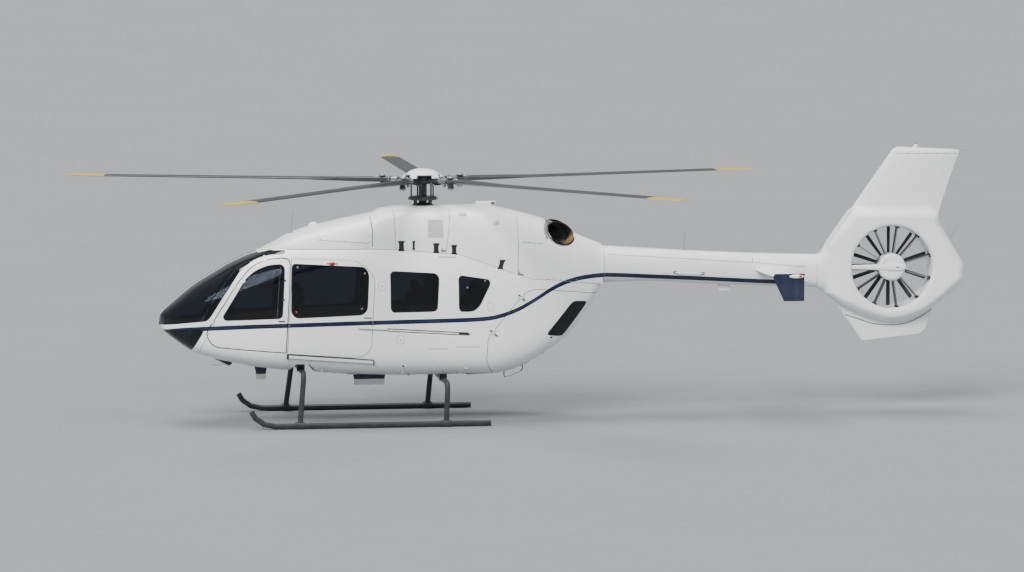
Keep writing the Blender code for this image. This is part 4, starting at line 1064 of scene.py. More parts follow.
def add_seams():
    """Panel gaps, hatch outlines and window seals; the line at the intake step is widened with
    painted shade.
    """
    bm = bmesh.new()
    for _, side in SIDES:
        for path, width in PANEL_LINES:
            add_to(bm, side_strip(path, side, width, SEAM_HEIGHT))
        for path, width in HATCHES:
            add_to(bm, side_strip(path, side, width, SEAM_HEIGHT, True, corner=0.02))
        door = rounded(SLIDING_DOOR, DOOR_CORNER, (1, 2, 3, 4), steps=3)
        add_to(bm, side_strip(door, side, 0.009, SEAM_HEIGHT, True))
    piece("panel_gaps", bm, ["seam"], "airframe")
    seals = (
        ("airframe", "airframe", (SLIDING_WINDOW, CABIN_WINDOW, REAR_WINDOW)),
        ("pilot_door", "", (PILOT_WINDOW,)),
        ("clamshell", "", (REAR_DOOR_WINDOW,)),
    )
    for group, body, shapes in seals:
        for label, side in SIDES:
            edges = [grown(rounded(outline, WINDOW_CORNER, steps=3), 0.003) for outline in shapes]
            bits = [side_strip(edge, side, 0.011, 0.0025, True, sunk=0.006) for edge in edges]
            add_group("window_seals_%s_%s" % (group, label), bits, "seal",
                      body or group + "_" + label, None)


def patch(outline, side, height, sunk=0.004):
    """Small raised plate with a side-view outline, lying on the skin."""
    bm = bmesh.new()
    top, bottom = [], []
    for x, z in outline:
        point, out = side_point(x, z, side)
        top.append(bm.verts.new(point + out * height))
        bottom.append(bm.verts.new(point - out * sunk))
    count = len(outline)
    for i in range(count):
        j = (i + 1) % count
        bm.faces.new((top[i], top[j], bottom[j], bottom[i]))
    bm.faces.new(top)
    bm.faces.new(list(reversed(bottom)))
    bmesh.ops.recalc_face_normals(bm, faces=bm.faces)
    return bm


def box_outline(x, z, width, height, lean=0.0):
    """Side-view rectangle about (x, z), leaning aft going up by lean."""
    return [(x - width / 2 - lean * height / 2, z - height / 2),
            (x + width / 2 - lean * height / 2, z - height / 2),
            (x + width / 2 + lean * height / 2, z + height / 2),
            (x - width / 2 + lean * height / 2, z + height / 2)]


def blister(size, matrix, sides=20, rings=7):
    """Half of a rounded lump, closed below."""
    profile = []
    for i in range(rings + 1):
        angle = math.pi / 2 * i / rings
        profile.append((max(0.001, math.cos(angle)), math.sin(angle)))
    return turned(lathe([(1.0, -0.3)] + profile, sides), matrix @ Matrix.Diagonal((*size, 1.0)))


def add_group(name, bits, key, body="airframe", smooth=35):
    """One piece from several small shapes of one finish."""
    bm = bmesh.new()
    for bit in bits:
        add_to(bm, bit)
    return piece(name, bm, [key], body, smooth)


# Latches: middle, width and height in the side view
LATCHES = [
    (-0.386, 1.897, 0.088, 0.140), (-0.208, 1.906, 0.040, 0.120), (0.117, 1.864, 0.088, 0.135),
    (0.377, 1.841, 0.080, 0.130), (1.057, 1.624, 0.082, 0.125),
]
# Those aft of this place lean
LEANING_FROM_X = 1.0
LATCH_LEAN = 0.30
# Fasteners' places in the side view
COWLING_STUDS = [
    (1.400, 1.940), (1.470, 1.932), (1.560, 1.922), (1.650, 1.912), (1.318, 1.90), (1.313, 1.78),
    (1.308, 1.66), (1.304, 1.55), (1.745, 2.00), (1.60, 1.404), (1.76, 1.394), (1.95, 1.384),
    (2.20, 1.370), (-0.468, 2.30), (-0.470, 2.10), (-0.472, 1.96), (0.330, 2.30), (0.300, 2.10),
    (0.275, 1.93), (-1.30, 1.882), (-0.90, 1.878), (-0.845, 2.05), (-0.83, 2.22),
    (-0.842, 1.96), (-1.55, 2.005), (-1.20, 1.98),
]
# Steel plates: middle, width and height in the side view
COWLING_PLATES = [
    (0.232, 1.826, 0.050, 0.026), (0.200, 1.836, 0.020, 0.045),
    (1.345, 1.478, 0.075, 0.022), (1.312, 1.500, 0.022, 0.050),
]
# Front, rear, low and high edge of the intake screens
INTAKE = (0.006, 0.216, 2.030, 2.266)


def add_latches():
    """Latches and fasteners of the engine cowling."""
    dark, plates, studs = [], [], []
    for _, side in SIDES:
        for x, z, width, height in LATCHES:
            lean = LATCH_LEAN if x > LEANING_FROM_X else 0.0
            waist = box_outline(x, z, width * 0.80, height, lean)
            dark.append(patch(waist, side, 0.004))
            for reach in (height * 0.42, -height * 0.42):
                bar = box_outline(x + lean * reach, z + reach, width, height * 0.18)
                dark.append(patch(bar, side, 0.0055))
            reach = height * 0.56
            lip = box_outline(x + lean * reach, z + reach, width * 1.08, 0.010)
            plates.append(patch(lip, side, 0.010))
        studs += side_studs(COWLING_STUDS, side, 0.0085, 0.003)
    for _, side in SIDES:
        plates += [patch(box_outline(*plate), side, 0.010) for plate in COWLING_PLATES]
    add_group("cowling_latches", dark, "black")
    add_group("cowling_latch_plates", plates, "steel")
    add_group("cowling_fasteners", studs, "seam")


def add_intake_screens():
    """Wire screens over grey backs on the cowling's sides."""
    bars, back = [], []
    x0, x1, z0, z1 = INTAKE
    xs, zs = spread(x0, x1, 6), spread(z0, z1, 6)
    frame_path = box_outline((x0 + x1) / 2, (z0 + z1) / 2, x1 - x0 + 0.008, z1 - z0 + 0.008)
    for _, side in SIDES:
        for a, b in zip(xs, xs[1:]):
            for c, e in zip(zs, zs[1:]):
                back.append(patch([(a, c), (b, c), (b, e), (a, e)], side, 0.0015))
        for x in spread(x0, x1, 14):
            bars.append(side_strip([(x, z0), (x, z1)], side, 0.0065, 0.0045, step=0.05))
        for z in spread(z0, z1, 16):
            bars.append(side_strip([(x0, z), (x1, z)], side, 0.0065, 0.0040, step=0.06))
        bars.append(side_strip(frame_path, side, 0.009, 0.006, True))
    add_group("intake_screen_back", back, "grey")
    add_group("intake_screen", bars, "mesh")


def add_roof_parts():
    """Scoops, the fairing on the roof with its opening, and the roof antenna."""
    bumps = []
    for _, side in SIDES:
        for x, z, size in ((0.518, 2.335, (0.068, 0.030, 0.050)),
                           (0.988, 2.229, (0.052, 0.048, 0.066))):
            bumps.append(blister(size, aim(*side_point(x, z, side))))
        bumps.append(side_strip([(0.150, 1.752), (0.384, 1.742)], side, 0.030, 0.030))
    bumps.append(blister((0.075, 0.075, 0.050), aim(*onto(cowl_skin, (-1.615, 0.0, 2.18)))))
    add_group("cowling_scoops", bumps, "white", smooth=50)

    top = shifted(soft_box((0.30, 0.070, 0.044), 0.014), 0.925, 0.0, 2.472)
    foot = shifted(soft_box((0.22, 0.045, 0.030), 0.006), 0.905, 0.0, 2.446)
    notch = shifted(soft_box((0.062, 0.074, 0.028), 0.004), 1.028, 0.0, 2.468)
    add_group("roof_fairing", [top, foot], "white")
    add_group("roof_fairing_opening", [notch], "black")

    whip = rod([(-1.940, 0.0, 2.050), (-1.930, 0.0, 2.110), (-1.901, 0.0, 2.419)],
               (0.007, 0.005, 0.0022), 8)
    base = blister((0.030, 0.018, 0.022), aim(*onto(cowl_skin, (-1.935, 0.0, 2.07))))
    add_group("roof_antenna", [whip, base], "grey")


def oval_path(grow, first, last, count=24):
    """Side-view path round an exhaust's oval opening, between two angles in degrees."""
    lean = math.radians(EXHAUST_OVAL["tilt"])
    path = []
    for turn in spread(first, last, count):
        along = (EXHAUST_OVAL["along"] + grow) * math.cos(math.radians(turn))
        up = (EXHAUST_OVAL["up"] + grow) * math.sin(math.radians(turn))
        path.append((EXHAUST_OVAL["x"] + along * math.cos(lean) - up * math.sin(lean),
                     EXHAUST_OVAL["z"] + along * math.sin(lean) + up * math.cos(lean)))
    return path


def add_exhaust_lips():
    """Pale edge in front of each exhaust's mouth and a dark seal round its lower half."""
    pale, dark = [], []
    for _, side in SIDES:
        dark.append(side_strip(oval_path(0.004, 178, 362), side, 0.010, 0.002))
        pale.append(side_strip(oval_path(0.024, 160, 226), side, 0.044, 0.006))
    add_group("exhaust_seals", dark, "seal")
    add_group("exhaust_lips", pale, "lip")


def add_stud(point, out, radius, height):
    """Round head of a fastener standing on a skin."""
    bm = lathe([(radius, -0.002), (radius, height * 0.6), (radius * 0.6, height)], 10)
    return turned(bm, aim(point, out))


def side_studs(places, side, radius, height, sunk=0.0):
    """Studs on one side's skin at places (x, z)."""
    made = []
    for x, z in places:
        point, out = side_point(x, z, side)
        made.append(add_stud(point - out * sunk, out, radius, height))
    return made


# Strips on the cabin's sides: finish, ends in the side view, width and height
SIDE_STRIPS = [
    ("white", (-2.050, 0.345), (-0.826, 0.251), 0.040, 0.034),
    # Painted shadow under the lower rail
    ("black", (-2.052, 0.319), (-0.826, 0.225), 0.014, 0.012),
    ("black", (-2.050, 0.369), (-0.826, 0.275), 0.007, 0.024),
    ("white", (-1.035, 0.752), (-0.620, 0.731), 0.034, 0.030),
    # Painted shadow under the upper rail
    ("black", (-1.045, 0.734), (-0.625, 0.712), 0.010, 0.014),
    ("black", (-0.620, 0.726), (0.560, 0.648), 0.013, 0.004),
    ("white", (-0.620, 0.709), (0.560, 0.632), 0.014, 0.012),
    ("black", (-0.620, 0.692), (0.420, 0.624), 0.008, 0.004),
    ("black", (0.420, 0.641), (0.572, 0.632), 0.026, 0.014),
    ("white", (-2.00, 1.742), (-1.05, 1.702), 0.012, 0.006),
    ("black", (-1.485, 1.668), (-1.325, 1.663), 0.014, 0.010),
]
# Black plates there: middle, width and height in the side view, and how far they stand out
SIDE_PLATES = [
    ((-2.062, 0.345, 0.030, 0.064), 0.037), ((-0.820, 0.246, 0.014, 0.056), 0.036),
    ((-0.903, 0.888, 0.115, 0.014), 0.008),
]
# Fasteners there: finish, places, radius, height and how far they are sunk
SIDE_STUDS = [
    ("red", [(-1.938, 0.983)], 0.015, 0.008, GLASS_IN),
    ("steel", [(-1.907, 1.618), (-0.938, 1.525), (-0.991, 1.021), (0.551, 1.307),
               (0.810, 1.399)], 0.015, 0.008, GLASS_IN),
    ("black", [(-0.690, 1.341), (-0.432, 0.560)], 0.010, 0.003, 0.0),
    ("black", [(-0.385, 0.172)], 0.014, 0.010, 0.0),
    ("white", [(-0.382, 0.075), (0.539, 0.121), (0.470, 0.040), (-1.56, 0.12)], 0.013, 0.014,
     0.0),
]


def add_cabin_side_parts(label, side):
    """Rails with painted shadows under them, emergency handle and window fasteners on one side of
    the cabin.
    """
    point, out = side_point(-1.406, 1.667, side)
    handle = blister((0.046, 0.026, 0.020), aim(point + out * 0.006, out))
    bits = dict(white=[], black=[], red=[handle], steel=[])
    for key, start, end, width, height in SIDE_STRIPS:
        bits[key].append(side_strip([start, end], side, width, height))
    for box, height in SIDE_PLATES:
        bits["black"].append(patch(box_outline(*box), side, height))
    for key, places, radius, height, sunk in SIDE_STUDS:
        bits[key] += side_studs(places, side, radius, height, sunk)
    add_group("door_rails_" + label, bits["white"], "white")
    add_group("door_slots_and_painted_shadows_" + label, bits["black"], "black")
    add_group("emergency_handle_" + label, bits["red"], "red")
    add_group("window_fasteners_" + label, bits["steel"], "steel")


def add_pilot_door_parts(label, side):
    """Stops and tabs on one pilot door."""
    stops = [patch(box_outline(-2.150, 0.852, 0.095, 0.014), side, 0.009),
             patch(box_outline(-2.097, 1.436, 0.040, 0.026), side, 0.006, 0.012),
             patch(box_outline(-2.121, 1.161, 0.040, 0.026), side, 0.006, 0.012)]
    add_group("pilot_door_stops_" + label, stops, "black", "pilot_door_" + label)
    tabs = [patch(box_outline(x, z, 0.050, 0.026, 0.6), side, 0.004, 0.012)
            for x, z in ((-2.690, 1.418), (-2.908, 1.113))]
    add_group("pilot_door_tabs_" + label, tabs, "white", "pilot_door_" + label)


def add_rear_door_parts(label, side):
    """Latch of one rear door, and its hinge straps: front half on the cabin, rear on the door."""
    latch = blister((0.024, 0.012, 0.007), aim(*side_point(1.812, 0.540, side)))
    add_group("rear_door_latch_" + label, [latch], "black", "clamshell_" + label)
    front, rear = [], []
    for start, end in (((1.301, 1.188), (1.397, 1.099)), ((0.877, 0.685), (0.985, 0.595))):
        x, z = (start[0] + end[0]) / 2, (start[1] + end[1]) / 2
        front.append(side_strip([start, (x - 0.006, z + 0.006)], side, 0.014, 0.028))
        rear.append(side_strip([(x + 0.006, z - 0.006), end], side, 0.014, 0.028))
    add_group("rear_door_hinge_front_" + label, front, "dark")
    add_group("rear_door_hinge_rear_" + label, rear, "dark", "clamshell_" + label)


def add_door_parts():
    """Small parts on the cabin's sides and doors."""
    for label, side in SIDES:
        add_cabin_side_parts(label, side)
        add_pilot_door_parts(label, side)
        add_rear_door_parts(label, side)


def add_boom_parts():
    """Handles on the boom's sides, the blade antenna below it and the whip above it."""
    bars, feet = [], []
    for _, side in SIDES:
        path = []
        for i, (x, z) in enumerate(zip(spread(3.708, 4.118, 8), spread(1.432, 1.408, 8))):
            point, out = side_point(x, z, side)
            path.append(point + out * (0.004 + 0.030 * min(1.0, i, 8 - i)))
            if i in (0, 8):
                feet.append(turned(soft_box((0.060, 0.040, 0.012), 0.004), aim(point, out)))
        bars.append(rod(path, 0.0085))
    add_group("boom_handle", bars, "white")
    add_group("boom_handle_feet", feet, "grey")
    blade = lofted([[Vector((x, y, z)) for x, y in
                     ((4.37 + s, 0.0), (4.41, 0.009), (4.52, 0.009), (4.57 - s * 0.4, 0.0),
                      (4.52, -0.009), (4.41, -0.009))]
                    for z, s in ((1.235, 0.0), (1.17, 0.01), (1.135, 0.03))])
    add_group("boom_antenna_blade", [blade], "white")
    whip = rod([(3.874, 0.0, 1.735), (3.874, 0.0, 1.80), (3.890, 0.0, 2.035)],
               (0.007, 0.004, 0.0022), 8)
    base = blister((0.028, 0.016, 0.016), Matrix.Translation((3.874, 0.0, 1.738)))
    add_group("boom_antenna_whip", [whip, base], "grey")


def belly_z(x):
    """Height of the cabin's underside."""
    return row_at("pod", x)[3]


def belly_fin(x0, x1, rows):
    """Six-sided blade under the belly; rows give height, draw-in, half width and taper."""
    return lofted([[Vector((x0 + s, 0.0, z)), Vector((x0 + s + t, w, z)),
                    Vector((x1 - s - t, w, z)), Vector((x1 - s, 0.0, z)),
                    Vector((x1 - s - t, -w, z)), Vector((x0 + s + t, -w, z))]
                   for z, s, w, t in rows])


def add_belly_parts():
    """Blade antennas on dark bases, a looped antenna and a cable cutter under the chin."""
    white, dark = [], []
    for x0, x1, z0, z1 in ((-2.458, -2.308, -0.076, 0.004), (-1.022, -0.565, -0.180, -0.095)):
        white.append(belly_fin(x0, x1, ((z1, 0.0, 0.010, 0.02),
                                        ((z0 + z1) / 2, 0.001, 0.010, 0.02),
                                        (z0, 0.006, 0.010, 0.02))))
        top = max(belly_z(x0), belly_z(x1)) + 0.01
        dark.append(belly_fin(x0, x1, ((top, -0.03, 0.035, 0.03), (z1 + 0.025, 0.0, 0.013, 0.03),
                                       (z1 - 0.001, 0.0, 0.011, 0.03))))
    loop = [(1.198, 0.0, 0.060), (1.196, 0.0, -0.060), (1.205, 0.0, -0.098), (1.235, 0.0, -0.100),
            (1.400, 0.0, -0.038), (1.448, 0.0, -0.016), (1.470, 0.0, 0.020), (1.475, 0.0, 0.155)]
    dark.append(rod(loop[:3], 0.008, 8))
    dark.append(rod(loop[5:], 0.008, 8))
    white.append(rod(loop[2:6], 0.009))
    dark.append(lofted([[Vector((x, y, z)) for x, z in ((-3.03, 0.262), (-2.83, 0.215),
                                                        (-2.80, 0.155), (-2.852, 0.128),
                                                        (-3.045, 0.226))]
                        for y in (-0.006, 0.006)]))
    white.append(rod([(-3.056, 0.0, 0.236), (-2.846, 0.0, 0.126)], 0.008, 8))
    white.append(rod([(-3.085, 0.0, 0.152), (-3.024, 0.0, 0.140), (-2.93, 0.0, 0.165)], 0.007, 8))
    add_group("belly_antennas", white, "white")
    add_group("belly_antenna_bases", dark, "navy")


def surface_tree(node):
    """Ray casting on a node's own faces."""
    item = NODES[node]
    bm = bmesh.new()
    bm.from_mesh(item.data)
    bm.transform(item.matrix_world)
    tree = BVHTree.FromBMesh(bm)
    bm.free()
    return tree


def cast_side(tree, x, z, side):
    """Point of a node's side at (x, z) and its outward direction, or None beside the node."""
    point, out = tree.ray_cast(Vector((x, side * 2.0, z)), Vector((0, -side, 0)))[:2]
    if point is None:
        return None
    return point, -out if out.y * side < 0 else out


def settled(bm, name, changes, share=None):
    """Mesh of a shape after a list of modifiers, with each point's share of them."""
    mesh = bpy.data.meshes.new(name)
    bm.to_mesh(mesh)
    bm.free()
    item = linked(name, mesh)
    if share:
        group = item.vertex_groups.new(name="share")
        for i, weight in enumerate(share):
            group.add([i], weight, "REPLACE")
    for kind, values in changes:
        modifier = item.modifiers.new(kind, kind)
        for key, value in values.items():
            setattr(modifier, key, value)
    view = bpy.context.evaluated_depsgraph_get()
    made = bmesh.new()
    made.from_mesh(item.evaluated_get(view).to_mesh())
    item.evaluated_get(view).to_mesh_clear()
    bpy.data.objects.remove(item)
    bpy.data.meshes.remove(mesh)
    return made


def eased(value):
    """A share from 0 to 1 that starts and ends gently."""
    value = clamped(value)
    return value * value * (3.0 - 2.0 * value)


def clamped(value, low=0.0, high=1.0):
    """The value, kept between two limits."""
    return max(low, min(high, value))


def add_soft_fin():
    """The fin and duct with the real part's rounded shoulders."""
    bm = bmesh.new()
    bm.from_mesh(NODES["tail_fin"].data)
    bm.transform(NODES["tail_fin"].matrix_world)
    voxels = [("REMESH", dict(mode="VOXEL", voxel_size=FIN_VOXEL))]
    bm = settled(bm, "fin_base", voxels)
    for vert in bm.verts:
        width = BOOM_END_HALF + (FIN_HALF - BOOM_END_HALF) * eased(
            (vert.co.x - BOOM_END_X) / FIN_GROWS_OVER)
        vert.co.y = clamped(vert.co.y, -width, width)
        if FIN_EDGE_FROM_Z < vert.co.z < FIN_EDGE_TO_Z:
            vert.co.x = max(vert.co.x, FIN_EDGE_X + (vert.co.z - FIN_EDGE_Z) * FIN_EDGE_LEAN)
    bm = settled(bm, "fin_drawn_in", voxels)
    share = []
    for vert in bm.verts:
        wide = clamped((abs(vert.co.y) - FIN_FLAT_HALF) / FIN_FLAT_FADE)
        reach = math.hypot(vert.co.x - DUCT_X, vert.co.z - DUCT_Z)
        inside = DUCT_SHARE if reach < DUCT_RADIUS + DUCT_LIP else 1.0
        near_boom = clamped((vert.co.x - BOOM_END_X - BOOM_GAP) / BOOM_FADE)
        share.append(wide * inside * near_boom)
    bm = settled(bm, "fin_soft", [
        ("SMOOTH", dict(factor=0.5, iterations=FIN_SMOOTHING, vertex_group="share"))], share)
    made = piece("tail_fin_skin", bm, ["white"], "airframe", 60)
    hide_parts("tail_fin")


# Joint between the duct's underside and the lower fin, seen from the side; its wide dark strip is
# a seam with painted shade under the duct's bulge
DUCT_SEAM_SHADE = [
    (6.241, 0.784), (6.306, 0.752), (6.370, 0.726), (6.438, 0.703), (6.506, 0.685),
    (6.605, 0.645), (6.703, 0.620), (6.813, 0.602), (6.923, 0.594), (7.010, 0.594),
    (7.097, 0.598), (7.180, 0.610), (7.263, 0.631), (7.354, 0.668), (7.444, 0.711),
    (7.524, 0.760), (7.603, 0.809),
]


def add_fin_parts():
    """Seams, fasteners and whips of the fin, a wide seam with painted shade under the duct, and
    the beacon on its tip.
    """
    tree = surface_tree("tail_fin")
    tip = list(zip(spread(7.010, 7.950, 32), spread(3.141, 3.131, 32)))
    seam, studs = [], []
    for _, side in SIDES:
        for path, studded, stud, line in (
                (tip, slice(2, None, 5), (0.009, 0.004), (0.006, SEAM_HEIGHT)),
                # Wide dark strip under the duct: a seam with painted shade
                (DUCT_SEAM_SHADE, slice(None), (0.007, 0.006), (0.014, 0.003))):
            hits = [cast_side(tree, x, z, side) for x, z in path]
            studs += [add_stud(*hit, *stud) for hit in hits[studded] if hit]
            seam.append(strip(*zip(*[hit for hit in hits if hit]), *line))
    add_group("fin_seams_and_painted_shade", seam + studs, "seam")
    whips = [rod([(8.010, 0.0, 3.171), (8.135, 0.0, 3.175)], 0.003, 6),
             rod([(7.868, 0.0, 1.830), (7.890, 0.0, 1.875), (8.002, 0.0, 2.085)],
                 (0.006, 0.004, 0.002), 6)]
    add_group("fin_whips", whips, "grey")
    z = tree.ray_cast(Vector((BEACON_X, 0.0, 4.0)), Vector((0, 0, -1)))[0].z
    base = lathe([(0.042, z - 0.01), (0.040, z + 0.006), (0.030, z + 0.032),
                  (0.019, z + 0.050), (0.017, z + 0.052)], 20)
    add_group("beacon_base", [shifted(base, BEACON_X, 0.0, 0.0)], "white")
    dome = lathe([(0.018, z + 0.046), (0.018, z + 0.066), (0.014, z + 0.073),
                  (0.004, z + 0.076)], 20)
    add_group("beacon_lamp", [shifted(dome, BEACON_X, 0.0, 0.0)], "grey", smooth=60)


def add_stabiliser_parts():
    """Pods with position lamps at the tailplane's ends."""
    for label, side in SIDES:
        pod = lathe([(0.003, -0.110), (0.016, -0.090), (0.026, -0.050), (0.030, 0.000),
                     (0.026, 0.060), (0.014, 0.100), (0.003, 0.112)], 20)
        place = Matrix.Translation((5.300, side * 1.328, 1.452)) @ QUARTER_TURN
        add_group("tailplane_pod_" + label, [turned(pod, place)], "white", smooth=50)
        lamp = lathe([(0.020, -0.002), (0.020, 0.010), (0.015, 0.020), (0.005, 0.025)], 16)
        place = (Matrix.Translation((5.352, side * 1.346, 1.460))
                 @ Matrix.Rotation(math.radians(-90 * side), 4, "X"))
        add_group("position_lamp_" + label, [turned(lamp, place)],
                  "lamp_red" if side < 0 else "lamp_green", smooth=60)
    tail = lathe([(0.016, 0.0), (0.016, 0.018), (0.011, 0.030), (0.003, 0.034)], 16)
    place = Matrix.Translation((8.088, 0.0, 1.40)) @ QUARTER_TURN
    add_group("tail_lamp", [turned(tail, place)], "lamp_white", smooth=60)


VANES = 11
HUB_BOLTS = 22
# Cover of the drive arm: distance from the hub along X, half height, and its two faces' Y
ARM_ROWS = [
    (-0.640, 0.036, -0.205, -0.060), (-0.52, 0.037, -0.215, -0.08), (-0.30, 0.042, -0.228, -0.14),
    (-0.05, 0.055, -0.256, -0.18), (0.10, 0.062, -0.260, -0.18), (0.165, 0.052, -0.258, -0.19),
    (0.200, 0.028, -0.250, -0.20),
]


def add_duct_parts():
    """Feet of the vanes at the duct's wall, bolts round the fixed hub, and the arm's cover."""
    hub = Matrix.Translation((DUCT_X, 0, DUCT_Z)) @ Matrix.Rotation(math.radians(-90), 4, "X")
    feet = []
    for i in range(1, VANES):
        place = (Matrix.Rotation(math.pi + math.tau * i / VANES, 4, "Z")
                 @ Matrix.Translation((DUCT_RADIUS - 0.010, 0, -0.135)))
        feet.append(turned(soft_box((0.020, 0.050, 0.150), 0.004), hub @ place))
    add_group("vane_feet", feet, "black")
    bolts = []
    for i in range(HUB_BOLTS):
        place = (Matrix.Rotation(math.tau * (i + 0.5) / HUB_BOLTS, 4, "Z")
                 @ Matrix.Translation((0.198, 0, -0.060)) @ QUARTER_TURN)
        bolt = lathe([(0.010, 0.0), (0.010, 0.012), (0.006, 0.015)], 8)
        bolts.append(turned(bolt, hub @ place))
    slot = turned(soft_box((0.040, 0.016, 0.006), 0.002),
                  hub @ Matrix.Translation((0.075, 0.0, -0.2610)))
    add_group("duct_hub_bolts", bolts + [slot], "seam")
    arm = [[Vector((DUCT_X + place, (y0 + y1) / 2 + (y1 - y0) / 2 * c, DUCT_Z + half * t))
            for c, t in squarish(16, 0.6)] for place, half, y0, y1 in ARM_ROWS]
    add_group("drive_arm_cover", [lofted(arm)], "white", smooth=50)


PRESSURE_FRAMES = 20


def swollen(start, name, most):
    """Fills a block like a real cushion; no point moves farther than most."""
    mesh = bpy.data.meshes.new(name)
    start.to_mesh(mesh)
    item = linked(name, mesh)
    scene = bpy.context.scene
    cloth = item.modifiers.new("Cloth", "CLOTH")
    cloth.settings.use_pressure = True
    cloth.settings.uniform_pressure_force = 4.0
    cloth.settings.quality = 5
    cloth.settings.mass = 0.3
    cloth.settings.effector_weights.gravity = 0.0
    cloth.point_cache.frame_start = 1
    cloth.point_cache.frame_end = PRESSURE_FRAMES
    for number in range(1, PRESSURE_FRAMES + 1):
        scene.frame_set(number)
    filled = item.evaluated_get(bpy.context.evaluated_depsgraph_get())
    for vert, point in zip(start.verts, filled.to_mesh().vertices):
        move = point.co - vert.co
        if move.length > most:
            move = move.normalized() * most
        vert.co = vert.co + move
    filled.to_mesh_clear()
    bpy.data.objects.remove(item)
    bpy.data.meshes.remove(mesh)
    scene.frame_set(1)


def cushion_mesh(size, name, cell, swell, lines):
    """Crowned pad: a rounded block filled like a real cushion, then quilted along lines."""
    start = soft_box(size, min(size) * 0.30, 4)
    start = settled(start, name + "_base", [("REMESH", dict(mode="VOXEL", voxel_size=cell))])
    swollen(start, name + "_pad", swell)
    low = -size[2] / 2
    for vert in start.verts:
        across = abs(vert.co.x) / (size[0] / 2)
        along = abs(vert.co.y) / (size[1] / 2)
        crown = max(0.0, 1.0 - across ** 2) * max(0.0, 1.0 - along ** 2)
        if vert.co.z > 0:
            vert.co.z += CROWN * crown
            for axis, place in lines:
                gap = (vert.co.x if axis == "x" else vert.co.y) - place
                vert.co.z -= QUILT_DEPTH * math.exp(-(gap / QUILT_WIDTH) ** 2)
        vert.co.z = max(vert.co.z, low)
    return settled(start, name, [("SUBSURF", dict(levels=1, render_levels=1))])


def piping(pad):
    """Piping sewn round a pad's upper edge."""
    tree = BVHTree.FromBMesh(pad)
    path = []
    for i in range(64):
        angle = math.tau * i / 64
        away = Vector((math.cos(angle), math.sin(angle), 0.0))
        path.append(tree.ray_cast(away + Vector((0, 0, PIPING_LEVEL)), -away)[0])
    return rod(path + [path[0]], PIPING_RADIUS, 6)


SEAT_FLOOR = 0.2853
SEAT_TILT = math.radians(17.1)
SEAT_PLACES = (
    ("pilot_seat_left", "pilot_seat_left", -2.36, -0.36),
    ("pilot_seat_right", "pilot_seat_right", -2.36, 0.36),
    ("passenger_seat_left", "passenger_seats", -0.60, -0.44),
    ("passenger_seat_middle", "passenger_seats", -0.60, 0.0),
    ("passenger_seat_right", "passenger_seats", -0.60, 0.44),
)
SEAT_FOOT = Vector((0.300, 0.0, 0.400))
SEAT_RISE = Vector((math.sin(SEAT_TILT), 0.0, math.cos(SEAT_TILT)))
SEAT_FRONT = Vector((-math.cos(SEAT_TILT), 0.0, math.sin(SEAT_TILT)))


def laid(middle, up_axis, out_axis):
    """Frame with X along up_axis and Z along out_axis."""
    matrix = Matrix((up_axis, out_axis.cross(up_axis), out_axis)).transposed().to_4x4()
    matrix.translation = middle
    return matrix


def seat_frame():
    """Hard back and pan of a seat on two floor rails, with posts for the head rest."""
    hard = bmesh.new()
    rows = []
    for t in (0.0, 0.25, 0.5, 0.75, 0.94, 1.0):
        middle = Vector((0.405 + 0.165 * t, 0.0, 0.285 + 0.600 * t))
        wide = 0.205 - 0.02 * t - (0.03 if t > 0.95 else 0.0)
        ring = []
        for k in range(24):
            angle = math.tau * k / 24
            c, q = math.cos(angle), math.sin(angle)
            ring.append(middle + Vector((0, wide * math.copysign(abs(c) ** 0.35, c), 0))
                        - SEAT_FRONT * (0.016 * math.copysign(abs(q) ** 0.5, q)
                                        - 0.03 * abs(c) ** 4))
        rows.append(ring)
    add_to(hard, lofted(rows))
    add_to(hard, shifted(soft_box((0.50, 0.41, 0.045), 0.016), 0.065, 0.0, 0.271))
    for y in (-0.16, 0.16):
        add_to(hard, shifted(soft_box((0.46, 0.040, 0.028), 0.006), 0.12, y, 0.015))
        for (x0, z0), (x1, z1) in (((-0.08, 0.02), (0.02, 0.26)), ((0.32, 0.02), (0.24, 0.26))):
            add_to(hard, rod([(x0, y, z0), (x1, y, z1)], 0.016))
    for y in (-0.06, 0.06):
        start = SEAT_FOOT - SEAT_FRONT * 0.062 + Vector((0, y, 0))
        add_to(hard, rod([start + SEAT_RISE * 0.50, start + SEAT_RISE * 0.60], 0.007, 8))
    return hard


